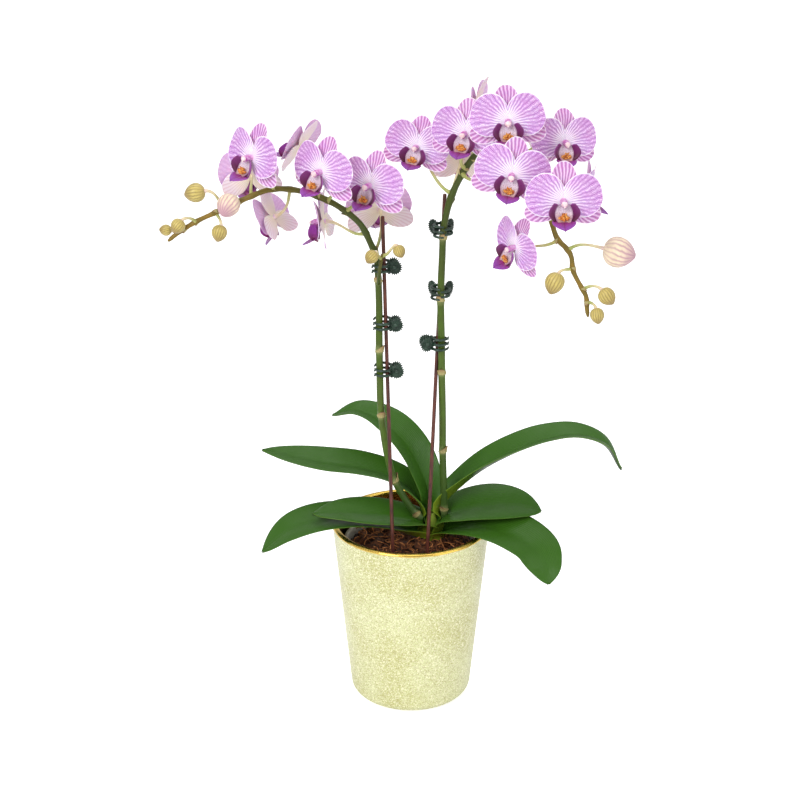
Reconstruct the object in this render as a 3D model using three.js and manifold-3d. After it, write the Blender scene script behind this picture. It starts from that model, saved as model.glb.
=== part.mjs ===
// A moth orchid with two arching flower spikes, in a tall glazed cover pot.
// Millimetres, +Z up, front towards -Y. The origin is the centre of the pot's flat underside.
import * as THREE from "three";
import { mergeVertices } from "three/addons/utils/BufferGeometryUtils.js";
import Module from "manifold-3d";

const wasm = await Module();
wasm.setup();

// ---------------------------------------------------------------- driving dimensions

const GAP = 0.3; // clearance between pieces that touch
const TURN = 2 * Math.PI;

const POT = {
  height: 163,
  rimRadius: 69,
  baseRadius: 52.5,
  wall: 5,
  floor: 7,
  footRound: 9,
  rimRound: 1.6,
  facets: 44,
};
const LINER = {
  height: 138,
  rimRadius: 57,
  baseRadius: 43,
  wall: 1.4,
  rimLip: 2.4,
  rimDrop: 5,
  facets: 32,
};
const MEDIUM = { depthBelowLiner: 7, crownHeap: 9, lump: 2.2, facets: 20 };
const CROWN = { x: 18, y: 3, bottom: 118, top: 190, radius: 8.5, tipRadius: 4.5, sides: 10 };

const SPIKE = { baseRadius: 3, tipRadius: 1.7, sides: 7 };
const SHOOT = { radius: 1.7, tipRadius: 1.4 };
const PEDICEL = { radius: 1.4, sides: 4, steps: 4 };
const STAKE = { radius: 1.6, sides: 8 };
const CLIP = {
  discRadius: 6.6,
  discThickness: 1.6,
  facets: 12,
  discReach: 10.6, // from the grip's centre to the disc's
  discGap: 2.6, // from the middle plane to the disc's inner edge
  toothRadius: 0.9,
  toothPitch: 4.4,
  grip: 7.4,
  hingeReach: 6.4,
};
const LEAF = { thickness: 2.4, widest: 0.55, tip: 0.08, across: 4, along: 9 };
const FLOWER = {
  thickness: 1.5,
  petal: {
    length: 29.5, width: 32, turn: 81, widest: 0.5, claw: 0.34, lean: 0.17, seat: 1, lift: 1.4, sweep: -3, cup: 2,
  },
  dorsal: {
    length: 29, width: 21, turn: 0, widest: 0.5, claw: 0.24, lean: 0, seat: -1, lift: -0.4, sweep: -2.6, cup: 1.4,
  },
  lateral: {
    length: 31, width: 19, turn: 112, widest: 0.5, claw: 0.24, lean: 0, seat: -1, lift: -0.4, sweep: -3, cup: 1.4,
  },
  tepalTip: 0.3,
  lip: {
    wall: 1.6,
    stations: [
      { y: -5.5, z: 0, half: 2.4, raise: 2.4 },
      { y: -14, z: 5, half: 9, raise: 16 },
      { y: -14.5, z: 11, half: 11.3, raise: 14 },
      { y: -16.5, z: 14.5, half: 9, raise: 2.2 },
      { y: -19.5, z: 19, half: 1.6, raise: 1.8 },
    ],
  },
  column: { radius: 2.7, length: 9.5, nod: 2 },
  receptacle: 4,
};

// ---------------------------------------------------------------- solids

const vec = (p) => new THREE.Vector3(...p);
const DEG = Math.PI / 180;

// A closed geometry as a manifold-3d solid.
function toSolid(geometry) {
  const bare = new THREE.BufferGeometry();
  bare.setAttribute("position", geometry.getAttribute("position").clone());
  if (geometry.index) bare.setIndex(geometry.index.clone());
  const merged = mergeVertices(bare, 1e-4);
  const solid = new wasm.Manifold(
    new wasm.Mesh({
      numProp: 3,
      vertProperties: merged.attributes.position.array,
      triVerts: new Uint32Array(merged.index.array),
    }),
  );
  if (solid.volume() >= 0) return solid;
  const turned = new Uint32Array(merged.index.array);
  for (let i = 0; i < turned.length; i += 3) [turned[i], turned[i + 1]] = [turned[i + 1], turned[i]];
  return new wasm.Manifold(
    new wasm.Mesh({ numProp: 3, vertProperties: merged.attributes.position.array, triVerts: turned }),
  );
}

// A manifold-3d solid as a geometry with flat faces.
function toGeometry(solid) {
  const mesh = solid.getMesh();
  const stride = mesh.numProp;
  const positions = new Float32Array(mesh.numVert * 3);
  for (let i = 0; i < mesh.numVert; i++) {
    positions.set(mesh.vertProperties.subarray(i * stride, i * stride + 3), i * 3);
  }
  const geometry = new THREE.BufferGeometry();
  geometry.setAttribute("position", new THREE.BufferAttribute(positions, 3));
  geometry.setIndex(new THREE.BufferAttribute(mesh.triVerts, 1));
  const flat = geometry.toNonIndexed();
  flat.computeVertexNormals();
  return flat;
}

// The largest body of a solid that a cut may have left in pieces.
function largest(solid) {
  return solid.decompose().reduce((a, b) => (b.volume() > a.volume() ? b : a));
}

const union = (solids) => solids.reduce((a, b) => a.add(b));

// A closed skin over rings of equally many points, with a fan over each end.
function loft(rings) {
  const count = rings[0].length;
  const points = rings.flat();
  const centre = (ring) => ring.reduce((sum, p) => sum.add(p), new THREE.Vector3()).divideScalar(count);
  points.push(centre(rings[0]), centre(rings[rings.length - 1]));
  const first = rings.length * count;
  const index = [];
  for (let r = 0; r + 1 < rings.length; r++) {
    for (let i = 0; i < count; i++) {
      const [a, b] = [r * count + i, r * count + ((i + 1) % count)];
      index.push(a, b, a + count, b, b + count, a + count);
    }
  }
  for (let i = 0; i < count; i++) {
    const next = (i + 1) % count;
    const last = (rings.length - 1) * count;
    index.push(first, next, i, first + 1, last + i, last + next);
  }
  const geometry = new THREE.BufferGeometry().setFromPoints(points);
  geometry.setIndex(index);
  return toSolid(geometry);
}

// A tapering stem along a curve.
function stem(curve, radiusAt, sides, steps) {
  const frames = curve.computeFrenetFrames(steps);
  const rings = [];
  for (let i = 0; i <= steps; i++) {
    const at = curve.getPointAt(i / steps);
    const radius = radiusAt(i / steps);
    const ring = [];
    for (let k = 0; k < sides; k++) {
      const angle = (TURN * k) / sides;
      ring.push(
        at
          .clone()
          .addScaledVector(frames.normals[i], radius * Math.cos(angle))
          .addScaledVector(frames.binormals[i], radius * Math.sin(angle)),
      );
    }
    rings.push(ring);
  }
  return loft(rings);
}

// A round bar of one thickness along a curve.
function bar(curve, radius, sides, steps) {
  const section = new THREE.Shape();
  for (let k = 0; k < sides; k++) {
    const angle = (TURN * k) / sides;
    const corner = [radius * Math.cos(angle), radius * Math.sin(angle)];
    if (k) section.lineTo(...corner);
    else section.moveTo(...corner);
  }
  return toSolid(new THREE.ExtrudeGeometry(section, { steps, extrudePath: curve, bevelEnabled: false }));
}

// A turned solid about the Z axis from a profile of [radius, height] that starts and ends on the axis.
function turned(profile, facets) {
  const points = profile.map(([radius, height]) => new THREE.Vector2(radius, height));
  return toSolid(new THREE.LatheGeometry(points, facets).rotateX(Math.PI / 2));
}

// A thin blade over surfaceAt(t, u), t from base to tip and u from -1 to 1 across. It is thickest along its
// middle, comes to an edge at each side and has its rings closer together towards the tip.
function blade(surfaceAt, thickness, along, across) {
  const step = 0.01;
  const normalAt = (t, u) => {
    const byT = surfaceAt(Math.min(1, t + step), u).sub(surfaceAt(Math.max(0, t - step), u));
    const byU = surfaceAt(t, Math.min(1, u + step)).sub(surfaceAt(t, Math.max(-1, u - step)));
    return byU.cross(byT).normalize();
  };
  const rings = [];
  for (let j = 0; j <= along; j++) {
    const t = Math.sin(((j / along) * Math.PI) / 2);
    const top = [];
    const bottom = [];
    for (let i = 1; i < across; i++) {
      const u = (2 * i) / across - 1;
      const half = normalAt(t, u).multiplyScalar(thickness / 2);
      top.push(surfaceAt(t, u).add(half));
      bottom.unshift(surfaceAt(t, u).sub(half));
    }
    rings.push([surfaceAt(t, -1), ...top, surfaceAt(t, 1), ...bottom]);
  }
  return loft(rings);
}

// ---------------------------------------------------------------- pot, liner and growing medium

// The cover pot's outer radius at a height above its straight foot.
const potOuterAt = (z) => POT.baseRadius + ((POT.rimRadius - POT.baseRadius) * z) / POT.height;
const linerFloor = POT.floor + GAP;
const linerRim = linerFloor + LINER.height;
const linerOuterAt = (z) =>
  LINER.baseRadius + ((LINER.rimRadius - LINER.baseRadius) * (z - linerFloor)) / LINER.height;

function coverPot() {
  const { height, wall, floor, footRound, rimRound, facets } = POT;
  const profile = [[0, 0]];
  const footSteps = 2;
  for (let i = 0; i <= footSteps; i++) {
    const angle = (i / footSteps) * (Math.PI / 2);
    profile.push([
      potOuterAt(footRound) - footRound * (1 - Math.sin(angle)),
      footRound * (1 - Math.cos(angle)),
    ]);
  }
  profile.push([potOuterAt(height - rimRound), height - rimRound]);
  profile.push([potOuterAt(height) - rimRound, height]);
  profile.push([potOuterAt(height) - wall + rimRound, height]);
  profile.push([potOuterAt(height - rimRound) - wall, height - rimRound]);
  profile.push([potOuterAt(floor) - wall, floor]);
  profile.push([0, floor]);
  return turned(profile, facets);
}

function liner() {
  const { wall, rimLip, rimDrop, facets } = LINER;
  const outer = linerOuterAt;
  const profile = [
    [0, linerFloor],
    [outer(linerFloor), linerFloor],
    [outer(linerRim - rimDrop), linerRim - rimDrop],
    [outer(linerRim - rimDrop) + rimLip, linerRim - rimDrop],
    [outer(linerRim) + rimLip, linerRim],
    [outer(linerRim) - wall, linerRim],
    [outer(linerFloor + wall) - wall, linerFloor + wall],
    [0, linerFloor + wall],
  ];
  return turned(profile, facets);
}

// Height of the bark's surface: heaped towards the crown and uneven.
function mediumTopAt(x, y) {
  const away = Math.hypot(x - CROWN.x, y - CROWN.y);
  const heap = MEDIUM.crownHeap * Math.exp(-((away / 26) ** 2));
  const lumps = MEDIUM.lump * (Math.sin(x * 0.31 + y * 0.17) + Math.sin(y * 0.37 - x * 0.11)) * 0.5;
  return linerRim - MEDIUM.depthBelowLiner + heap + lumps;
}

function growingMedium(cuts) {
  const bottom = linerFloor + LINER.wall + GAP;
  const { facets } = MEDIUM;
  const ring = (radius, heightAt) => {
    const points = [];
    for (let k = 0; k < facets; k++) {
      const angle = (TURN * k) / facets;
      const [x, y] = [radius * Math.cos(angle), radius * Math.sin(angle)];
      points.push(new THREE.Vector3(x, y, heightAt(x, y)));
    }
    return points;
  };
  const inside = (z) => linerOuterAt(z) - LINER.wall - GAP * 2;
  const shoulder = linerRim - MEDIUM.depthBelowLiner - MEDIUM.lump;
  const rings = [
    ring(inside(bottom), () => bottom),
    ring(inside(shoulder) - 0.5, (x, y) => Math.min(mediumTopAt(x, y), shoulder)),
    ring(inside(shoulder) * 0.82, mediumTopAt),
    ring(inside(shoulder) * 0.55, mediumTopAt),
    ring(inside(shoulder) * 0.28, mediumTopAt),
  ];
  return largest(cuts.reduce((solid, cut) => solid.subtract(cut), loft(rings)));
}

// ---------------------------------------------------------------- crown and leaves

const crownCurve = new THREE.LineCurve3(
  new THREE.Vector3(CROWN.x, CROWN.y, CROWN.bottom),
  new THREE.Vector3(CROWN.x, CROWN.y, CROWN.top),
);
const crownRadiusAt = (s) => CROWN.radius + (CROWN.tipRadius - CROWN.radius) * s * s;

// The short stem, or the same grown by a clearance, which is what its neighbours are cut by.
const crown = (grow = 0) => stem(crownCurve, (s) => crownRadiusAt(s) + grow, CROWN.sides, 4);

// spine: points of the midrib from the crown to the tip. width is the blade's widest, base its share at the
// crown, fold the angle in degrees that each half rises at base and tip, roll the tilt about the midrib.
const LEAVES = {
  leaf_left_low: {
    spine: [
      [12, -3, 151], [-8, -6, 160], [-34, -9, 169], [-64, -14, 173], [-90, -20, 171], [-110, -27, 164],
      [-128, -33, 149],
    ],
    width: 46, base: 0.4, fold: [16, 5], roll: -6,
  },
  leaf_right_low: {
    spine: [
      [25, -3, 155], [46, -11, 165], [70, -23, 169], [92, -34, 165], [107, -43, 157], [114, -51, 145],
      [117, -58, 131],
    ],
    width: 50, base: 0.4, fold: [14, 5], roll: 14,
  },
  leaf_left_front: {
    spine: [[12, -4, 163], [-12, -10, 172], [-40, -16, 178], [-64, -20, 181], [-84, -23, 180]],
    width: 46, base: 0.5, fold: [18, 4], roll: -6,
  },
  leaf_right_mid: {
    spine: [[26, 2, 167], [44, 0, 175], [68, -2, 180], [94, -4, 180], [113, -6, 175]],
    width: 52, base: 0.4, fold: [14, 3], roll: 12,
  },
  leaf_left_back: {
    spine: [
      [13, 7, 174], [-2, 12, 192], [-18, 17, 200], [-45, 22, 206], [-75, 25, 209], [-105, 26, 214],
      [-130, 26, 219],
    ],
    width: 36, base: 0.45, fold: [26, 8], roll: -12,
  },
  leaf_right_high: {
    spine: [
      [24, 6, 178], [41, 7, 197], [62, 8, 214], [91, 10, 229], [118, 12, 238], [145, 12, 241], [169, 11, 232],
      [183, 10, 208],
    ],
    width: 38, base: 0.4, fold: [24, 8], roll: 2,
  },
  leaf_back_high: {
    spine: [[16, 9, 188], [6, 20, 214], [-9, 32, 232], [-28, 44, 243], [-48, 50, 248], [-69, 54, 241]],
    width: 36, base: 0.4, fold: [28, 8], roll: -14,
  },
};

// A blade's width share from base to tip: full at the widest point and rounding off to its tip's share.
function bladeShare(t, widest, base, tip) {
  if (t < widest) return base + (1 - base) * Math.sin(((t / widest) * Math.PI) / 2);
  return tip + (1 - tip) * Math.sqrt(Math.max(0, 1 - ((t - widest) / (1 - widest)) ** 2));
}

function leaf({ spine, width, base, fold, roll }, cuts) {
  const curve = new THREE.CatmullRomCurve3(spine.map(vec));
  const up = new THREE.Vector3(0, 0, 1);
  const surfaceAt = (t, u) => {
    const along = curve.getTangentAt(t);
    const side = new THREE.Vector3().crossVectors(up, along).normalize().applyAxisAngle(along, roll * DEG);
    const normal = new THREE.Vector3().crossVectors(along, side);
    const half = (width / 2) * bladeShare(t, LEAF.widest, base, LEAF.tip);
    const lift = (fold[0] + (fold[1] - fold[0]) * t) * DEG;
    return curve
      .getPointAt(t)
      .addScaledVector(side, half * u * Math.cos(lift))
      .addScaledVector(normal, half * (Math.abs(u) - 0.5) * Math.sin(lift));
  };
  const whole = blade(surfaceAt, LEAF.thickness, LEAF.along, LEAF.across);
  return largest(cuts.reduce((solid, cut) => solid.subtract(cut), whole));
}

// ---------------------------------------------------------------- spikes, side shoot and stakes

const SPIKES = {
  spike_left: [
    [9, -1, 166], [1, -2, 175], [-14, -5, 203], [-20, -9, 227], [-24, -12.5, 255], [-26, -14, 278],
    [-26.5, -14, 304], [-27, -10.5, 332], [-27, -5, 364], [-28, -1, 392], [-29, 1, 403], [-33, 0, 413],
    [-42, -3, 432], [-58, -7, 447], [-73, -10, 456], [-94, -12, 463], [-114, -14, 464], [-134, -16, 457],
    [-159, -19, 446], [-175, -22, 439], [-191, -24, 429], [-197, -25, 424],
  ],
  spike_right: [
    [29, 3, 158], [29, 1, 176], [28, -3, 203], [27, -7, 230], [26.5, -12, 266], [25.5, -16, 301],
    [25, -18, 330], [24, -14, 372], [25, -9, 405], [26, -6.5, 428], [29, -5, 445], [33, -4, 458],
    [39, -4, 471], [45, -5, 482], [52, -8, 491], [65, -15, 500], [81, -23, 502], [95.7, -36, 495],
    [104.9, -52, 474.4], [109, -64, 451.2], [113.8, -68, 438], [120.6, -70, 431.4], [124.5, -71, 425.5],
    [126.4, -72, 413.7], [132.3, -73, 402], [137.2, -74, 393.1], [138.2, -75, 382.4], [139.2, -75, 376.5],
  ],
};
const spikeCurves = Object.fromEntries(
  Object.entries(SPIKES).map(([name, points]) => [name, new THREE.CatmullRomCurve3(points.map(vec))]),
);
const spikeRadiusAt = (s) =>
  SPIKE.baseRadius + (SPIKE.tipRadius - SPIKE.baseRadius) * Math.max(0, (s - 0.4) / 0.6);

// The small side shoot rises in front of the left spike and carries two buds.
const shootCurve = new THREE.CatmullRomCurve3(
  [[-27.5, -3, 380], [-27, -9, 388], [-26, -12, 398], [-24, -12, 409]].map(vec),
);

function spike(name, grow = 0) {
  const main = stem(spikeCurves[name], (s) => spikeRadiusAt(s) + grow, SPIKE.sides, 34);
  if (name !== "spike_left") return main;
  const shoot = stem(shootCurve, (s) => SHOOT.radius + (SHOOT.tipRadius - SHOOT.radius) * s + grow, 6, 5);
  return main.add(shoot);
}

const STAKES = {
  stake_left: [[-14.5, -45, 110], [-24, 8, 436]],
  stake_right: [[12, -44, 110], [27, 3.5, 456]],
};
const stakeCurve = (name) => new THREE.LineCurve3(...STAKES[name].map(vec));
const stake = (name, grow = 0) => bar(stakeCurve(name), STAKE.radius + grow, STAKE.sides, 1);

// ---------------------------------------------------------------- flowers and buds

// Where a stalk leaves its stem: just off the surface on the side that faces the target.
function stalkStart(curve, radius, s, target) {
  const at = curve.getPointAt(s);
  const tangent = curve.getTangentAt(s);
  const out = target.clone().sub(at);
  out.addScaledVector(tangent, -out.dot(tangent)).normalize();
  return { at: at.addScaledVector(out, radius + GAP), out };
}

// The flower's own frame: X to its right, Y up its dorsal sepal and Z the way it faces.
function facing({ at, turn, rise, roll, size }) {
  const [a, e] = [turn * DEG, rise * DEG];
  const normal = new THREE.Vector3(Math.sin(a) * Math.cos(e), -Math.cos(a) * Math.cos(e), Math.sin(e));
  const up = new THREE.Vector3(-Math.sin(a) * Math.sin(e), Math.cos(a) * Math.sin(e), Math.cos(e));
  up.applyAxisAngle(normal, -roll * DEG);
  const right = new THREE.Vector3().crossVectors(up, normal);
  return new THREE.Matrix4().makeBasis(right, up, normal).scale(vec([size, size, size])).setPosition(vec(at));
}

// One sepal or petal. sign mirrors it left to right, and lean makes its upper half the wider one.
function tepal({ length, width, turn, widest, claw, lean, seat, lift, sweep, cup }, sign) {
  const [dx, dy] = [Math.sin(turn * DEG) * sign, Math.cos(turn * DEG)];
  const surfaceAt = (t, u) => {
    const half = (width / 2) * bladeShare(t, widest, claw, FLOWER.tepalTip) * (1 - lean * u * sign);
    const rise = lift * Math.sin((Math.min(1, t * 3) * Math.PI) / 2) + sweep * t * t;
    return new THREE.Vector3(
      dx * length * t + dy * half * u,
      dy * length * t - dx * half * u,
      seat + rise + cup * Math.sin(Math.PI * t) * u * u,
    );
  };
  return blade(surfaceAt, FLOWER.thickness, 3, 2);
}

// The lip is a channel: narrow at the column's foot, raised into two side lobes, then a pointed middle lobe.
function lip() {
  const { stations, wall } = FLOWER.lip;
  const rings = stations.map(({ y, z, half, raise }) => {
    const inner = Math.max(half - wall, half * 0.3);
    const across = [[-half, raise], [-half * 0.7, 0], [half * 0.7, 0], [half, raise]];
    const back = [[inner, raise], [inner * 0.6, wall], [-inner * 0.6, wall], [-inner, raise]];
    return [...across, ...back].map(([x, rise]) => new THREE.Vector3(x, y + rise, z));
  });
  return loft(rings);
}

function flower(place) {
  const { column, receptacle, petal, dorsal, lateral } = FLOWER;
  const columnCurve = new THREE.QuadraticBezierCurve3(
    new THREE.Vector3(0, 0, -2),
    new THREE.Vector3(0, 0, column.length * 0.7),
    new THREE.Vector3(0, -column.nod, column.length),
  );
  const local = union([
    tepal(dorsal, 1),
    tepal(lateral, 1),
    tepal(lateral, -1),
    tepal(petal, 1),
    tepal(petal, -1),
    lip(),
    bar(columnCurve, column.radius, 4, 1),
    turned([[0, -receptacle * 0.9], [receptacle, 0], [0, receptacle * 0.9]], 6),
  ]);
  const frame = facing(place);
  const bloom = local.transform(frame.elements);
  const centre = vec(place.at);
  const normal = new THREE.Vector3().setFromMatrixColumn(frame, 2).normalize();
  const back = centre.clone().addScaledVector(normal, -1.5 * place.size);
  return bloom.add(stalk(place, back, normal)).simplify(0.25);
}

// The curved stalk from a spike to the back of a flower or bud that faces along normal.
function stalk({ on, s }, back, normal) {
  const curve = on === "shoot" ? shootCurve : spikeCurves[on];
  const radius = on === "shoot" ? SHOOT.tipRadius : spikeRadiusAt(s);
  const { at, out } = stalkStart(curve, radius, s, back);
  const reach = at.distanceTo(back);
  const path = new THREE.CubicBezierCurve3(
    at,
    at.clone().addScaledVector(out, reach * 0.35),
    back.clone().addScaledVector(normal, -reach * 0.4),
    back,
  );
  return bar(path, PEDICEL.radius, PEDICEL.sides, PEDICEL.steps);
}

// A bud is an egg on its stalk. It points along its turn and rise.
function bud(place) {
  const { length, width } = place;
  const shape = [[0, 0], [0.3, 0.02], [0.42, 0.2], [0.5, 0.45], [0.44, 0.72], [0.22, 0.94], [0, 1]];
  const egg = turned(shape.map(([r, z]) => [r * width, z * length]), 8);
  const frame = facing({ ...place, roll: 0, size: 1 });
  const normal = new THREE.Vector3().setFromMatrixColumn(frame, 2);
  const back = vec(place.at).addScaledVector(normal, -length / 2);
  frame.setPosition(back);
  const stalkEnd = back.clone().addScaledVector(normal, 1);
  return egg.transform(frame.elements).add(stalk(place, stalkEnd, normal));
}

const FLOWERS = {
  flower_left_1: { at: [-125, -40, 496], turn: -46, rise: 10, roll: 8, size: 0.98, on: "spike_left", s: 0.79 },
  flower_left_2: { at: [-91, 8, 494], turn: -118, rise: 26, roll: 0, size: 0.95, on: "spike_left", s: 0.71 },
  flower_left_3: { at: [-71, -46, 486], turn: -38, rise: 8, roll: 8, size: 0.98, on: "spike_left", s: 0.69 },
  flower_left_4: { at: [-33, -26, 470], turn: -30, rise: 8, roll: 5, size: 0.98, on: "spike_left", s: 0.65 },
  flower_left_5: { at: [-133, 8, 470], turn: -150, rise: -20, roll: 0, size: 0.93, on: "spike_left", s: 0.83 },
  flower_left_6: { at: [-114, 10, 434], turn: -112, rise: -28, roll: 0, size: 0.93, on: "spike_left", s: 0.76 },
  flower_left_7: { at: [-73, 2, 433], turn: -96, rise: -6, roll: 0, size: 0.98, on: "spike_left", s: 0.594 },
  flower_left_8: { at: [-27, 24, 437], turn: -168, rise: -8, roll: 0, size: 0.95, on: "spike_left", s: 0.555 },
  flower_right_1: { at: [4, 4, 494], turn: -14, rise: 10, roll: 9, size: 0.92, on: "spike_right", s: 0.565 },
  flower_right_2: { at: [42, -26, 512], turn: -18, rise: 8, roll: 4, size: 0.97, on: "spike_right", s: 0.61 },
  flower_right_3: { at: [73, -64, 530], turn: -2, rise: 8, roll: -2, size: 1, on: "spike_right", s: 0.71 },
  flower_right_4: { at: [119, -38, 508], turn: 14, rise: 6, roll: 4, size: 0.92, on: "spike_right", s: 0.73 },
  flower_right_5: { at: [75, -92, 495], turn: -4, rise: 6, roll: 10, size: 1, on: "spike_right", s: 0.6 },
  flower_right_6: { at: [113, -110, 480], turn: 2, rise: 4, roll: 0, size: 1, on: "spike_right", s: 0.84 },
  flower_right_7: { at: [82, -60, 429.1], turn: -58, rise: 0, roll: 22, size: 0.9, on: "spike_right", s: 0.872 },
  flower_right_8: { at: [141, -24, 466], turn: 76, rise: -4, roll: 0, size: 0.92, on: "spike_right", s: 0.82 },
  flower_right_9: { at: [42, 20, 480], turn: 168, rise: -8, roll: 0, size: 0.88, on: "spike_right", s: 0.555 },
  flower_right_10: { at: [90, 16, 512], turn: 112, rise: 12, roll: 0, size: 1, on: "spike_right", s: 0.69 },
  flower_right_11: { at: [52, 30, 519], turn: -108, rise: 12, roll: 0, size: 1, on: "spike_right", s: 0.63 },
};

const BUDS = {
  bud_left_1: { at: [-174, -25, 464], turn: -90, rise: -12, length: 17, width: 16, on: "spike_left", s: 0.885 },
  bud_left_2: { at: [-147, -32, 455], turn: -30, rise: -35, length: 20, width: 19, on: "spike_left", s: 0.855 },
  bud_left_3: { at: [-188, -31, 438], turn: -60, rise: -50, length: 12.5, width: 12, on: "spike_left", s: 0.94 },
  bud_left_4: { at: [-199, -24, 433], turn: -80, rise: 10, length: 10, width: 9.5, on: "spike_left", s: 0.965 },
  bud_left_5: { at: [-156, -20, 429], turn: -40, rise: -70, length: 14, width: 13, on: "spike_left", s: 0.9 },
  bud_shoot_1: { at: [-33, -17, 408], turn: -60, rise: -45, length: 12, width: 11.5, on: "shoot", s: 0.9 },
  bud_shoot_2: { at: [-10, -14, 412], turn: 60, rise: -60, length: 11, width: 10.5, on: "shoot", s: 0.98 },
  bud_right_1: { at: [162.2, -72, 428.6], turn: 80, rise: -12, length: 26, width: 25, on: "spike_right", s: 0.893 },
  bud_right_2: { at: [112, -72, 403], turn: -60, rise: -65, length: 18, width: 16, on: "spike_right", s: 0.922 },
  bud_right_3: { at: [153.9, -75, 393.1], turn: 60, rise: -45, length: 15, width: 14, on: "spike_right", s: 0.957 },
  bud_right_4: { at: [146.2, -78, 378.1], turn: 30, rise: -70, length: 13, width: 11.5, on: "spike_right", s: 0.978 },
};

// ---------------------------------------------------------------- stem clips

// Each clip grips a spike and its stake at a height. handle is the heading of its two discs, 0 towards +X, and
// open is how far each disc leans away from the other, in degrees.
const CLIPS = {
  clip_left_1: { stem: "spike_left", stake: "stake_left", z: 405, handle: 12, open: 12 },
  clip_left_2: { stem: "spike_left", stake: "stake_left", z: 347, handle: 8, open: 12 },
  clip_left_3: { stem: "spike_left", stake: "stake_left", z: 308, handle: 8, open: 12 },
  clip_right_1: { stem: "spike_right", stake: "stake_right", z: 430, handle: 95, open: 38 },
  clip_right_2: { stem: "spike_right", stake: "stake_right", z: 376, handle: 88, open: 38 },
  clip_right_3: { stem: "spike_right", stake: "stake_right", z: 334, handle: 188, open: 14 },
};

// The point of a curve at a height, for a curve that rises all the way to its share upTo.
function pointAtHeight(curve, z, upTo) {
  let [low, high] = [0, upTo];
  for (let i = 0; i < 40; i++) {
    const middle = (low + high) / 2;
    if (curve.getPointAt(middle).z < z) low = middle;
    else high = middle;
  }
  return curve.getPointAt(low);
}

// One half of a clip: a rayed disc on an arm, and teeth that reach round the stem. side is 1 or -1, and the
// two teeth of one half close between the three of the other.
function clipHalf(side, open) {
  const { discRadius, discThickness, facets, discReach } = CLIP;
  const discSpread = CLIP.discGap + discRadius * Math.sin(open * DEG);
  const { toothRadius, toothPitch, grip, hingeReach } = CLIP;
  const teeth = side > 0 ? 3 : 2;
  const hingeSide = side * (toothRadius + GAP);
  const disc = toSolid(new THREE.CylinderGeometry(discRadius, discRadius, discThickness, facets))
    .rotate([0, 0, side * open])
    .translate([discReach, side * discSpread, 0]);
  const line = (from, to) => new THREE.LineCurve3(vec(from), vec(to));
  const arm = line([hingeReach, hingeSide, 0], [discReach, side * discSpread, 0]);
  const spine = line([hingeReach, hingeSide, -toothPitch * 1.3], [hingeReach, hingeSide, toothPitch * 1.3]);
  const pieces = [disc, bar(arm, toothRadius * 1.3, 4, 1), bar(spine, toothRadius, 4, 1)];
  for (let i = 0; i < teeth; i++) {
    const height = (i - (teeth - 1) / 2) * toothPitch;
    const arc = [[hingeReach, hingeSide, height]];
    for (let k = 1; k <= 4; k++) {
      const angle = side * (0.22 + (k / 4) * (Math.PI - 0.3));
      arc.push([grip * Math.cos(angle), grip * Math.sin(angle), height]);
    }
    pieces.push(bar(new THREE.CatmullRomCurve3(arc.map(vec)), toothRadius, 4, 4));
  }
  return union(pieces);
}

// ---------------------------------------------------------------- the assembled plant

const MATERIALS = {
  pot_glaze: { color: 0xd9d6a4, roughness: 0.35, metalness: 0.2 },
  liner_plastic: { color: 0xb9b9ac, roughness: 0.4, metalness: 0 },
  bark: { color: 0x4b2614, roughness: 0.95, metalness: 0 },
  leaf: { color: 0x2f6424, roughness: 0.4, metalness: 0 },
  spike: { color: 0x5c7a2a, roughness: 0.5, metalness: 0 },
  stake_brown: { color: 0x4a211d, roughness: 0.5, metalness: 0 },
  clip_green: { color: 0x1c3a2c, roughness: 0.45, metalness: 0 },
  petal: { color: 0xd8a6e6, roughness: 0.6, metalness: 0 },
  bud: { color: 0xc6b676, roughness: 0.55, metalness: 0 },
};
const materials = Object.fromEntries(
  Object.entries(MATERIALS).map(([name, look]) => [name, new THREE.MeshStandardMaterial(look)]),
);

const plant = new THREE.Group();

function add(name, solid, material) {
  const mesh = new THREE.Mesh(toGeometry(solid), materials[material]);
  mesh.name = name;
  plant.add(mesh);
}

const grownCrown = crown(GAP);
const grownSpikes = Object.keys(SPIKES).map((name) => spike(name, GAP));
const grownStakes = Object.keys(STAKES).map((name) => stake(name, GAP));
const stems = [grownCrown, ...grownSpikes, ...grownStakes];

add("cover_pot", coverPot(), "pot_glaze");
add("nursery_pot", liner(), "liner_plastic");
add("bark_medium", growingMedium(stems), "bark");
add("crown", crown(), "leaf");
for (const name of Object.keys(LEAVES)) add(name, leaf(LEAVES[name], stems), "leaf");
for (const name of Object.keys(SPIKES)) add(name, largest(spike(name).subtract(grownCrown)), "spike");
for (const name of Object.keys(STAKES)) add(name, stake(name), "stake_brown");
for (const [name, { stem: stemName, stake: stakeName, z, handle, open }] of Object.entries(CLIPS)) {
  const a = pointAtHeight(spikeCurves[stemName], z, 0.5);
  const b = pointAtHeight(stakeCurve(stakeName), z, 1);
  const middle = a.add(b).divideScalar(2);
  for (const [half, side] of [["near", -1], ["far", 1]]) {
    const placed = clipHalf(side, open).rotate([0, 0, handle]).translate(middle.toArray());
    add(name + "_" + half, placed, "clip_green");
  }
}
for (const name of Object.keys(FLOWERS)) add(name, flower(FLOWERS[name]), "petal");
for (const name of Object.keys(BUDS)) add(name, bud(BUDS[name]), "bud");

export default plant;
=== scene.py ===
"""A potted orchid: two flowering spikes on stakes, seven leaves and a glitter-glazed cover pot."""

import math

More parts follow.
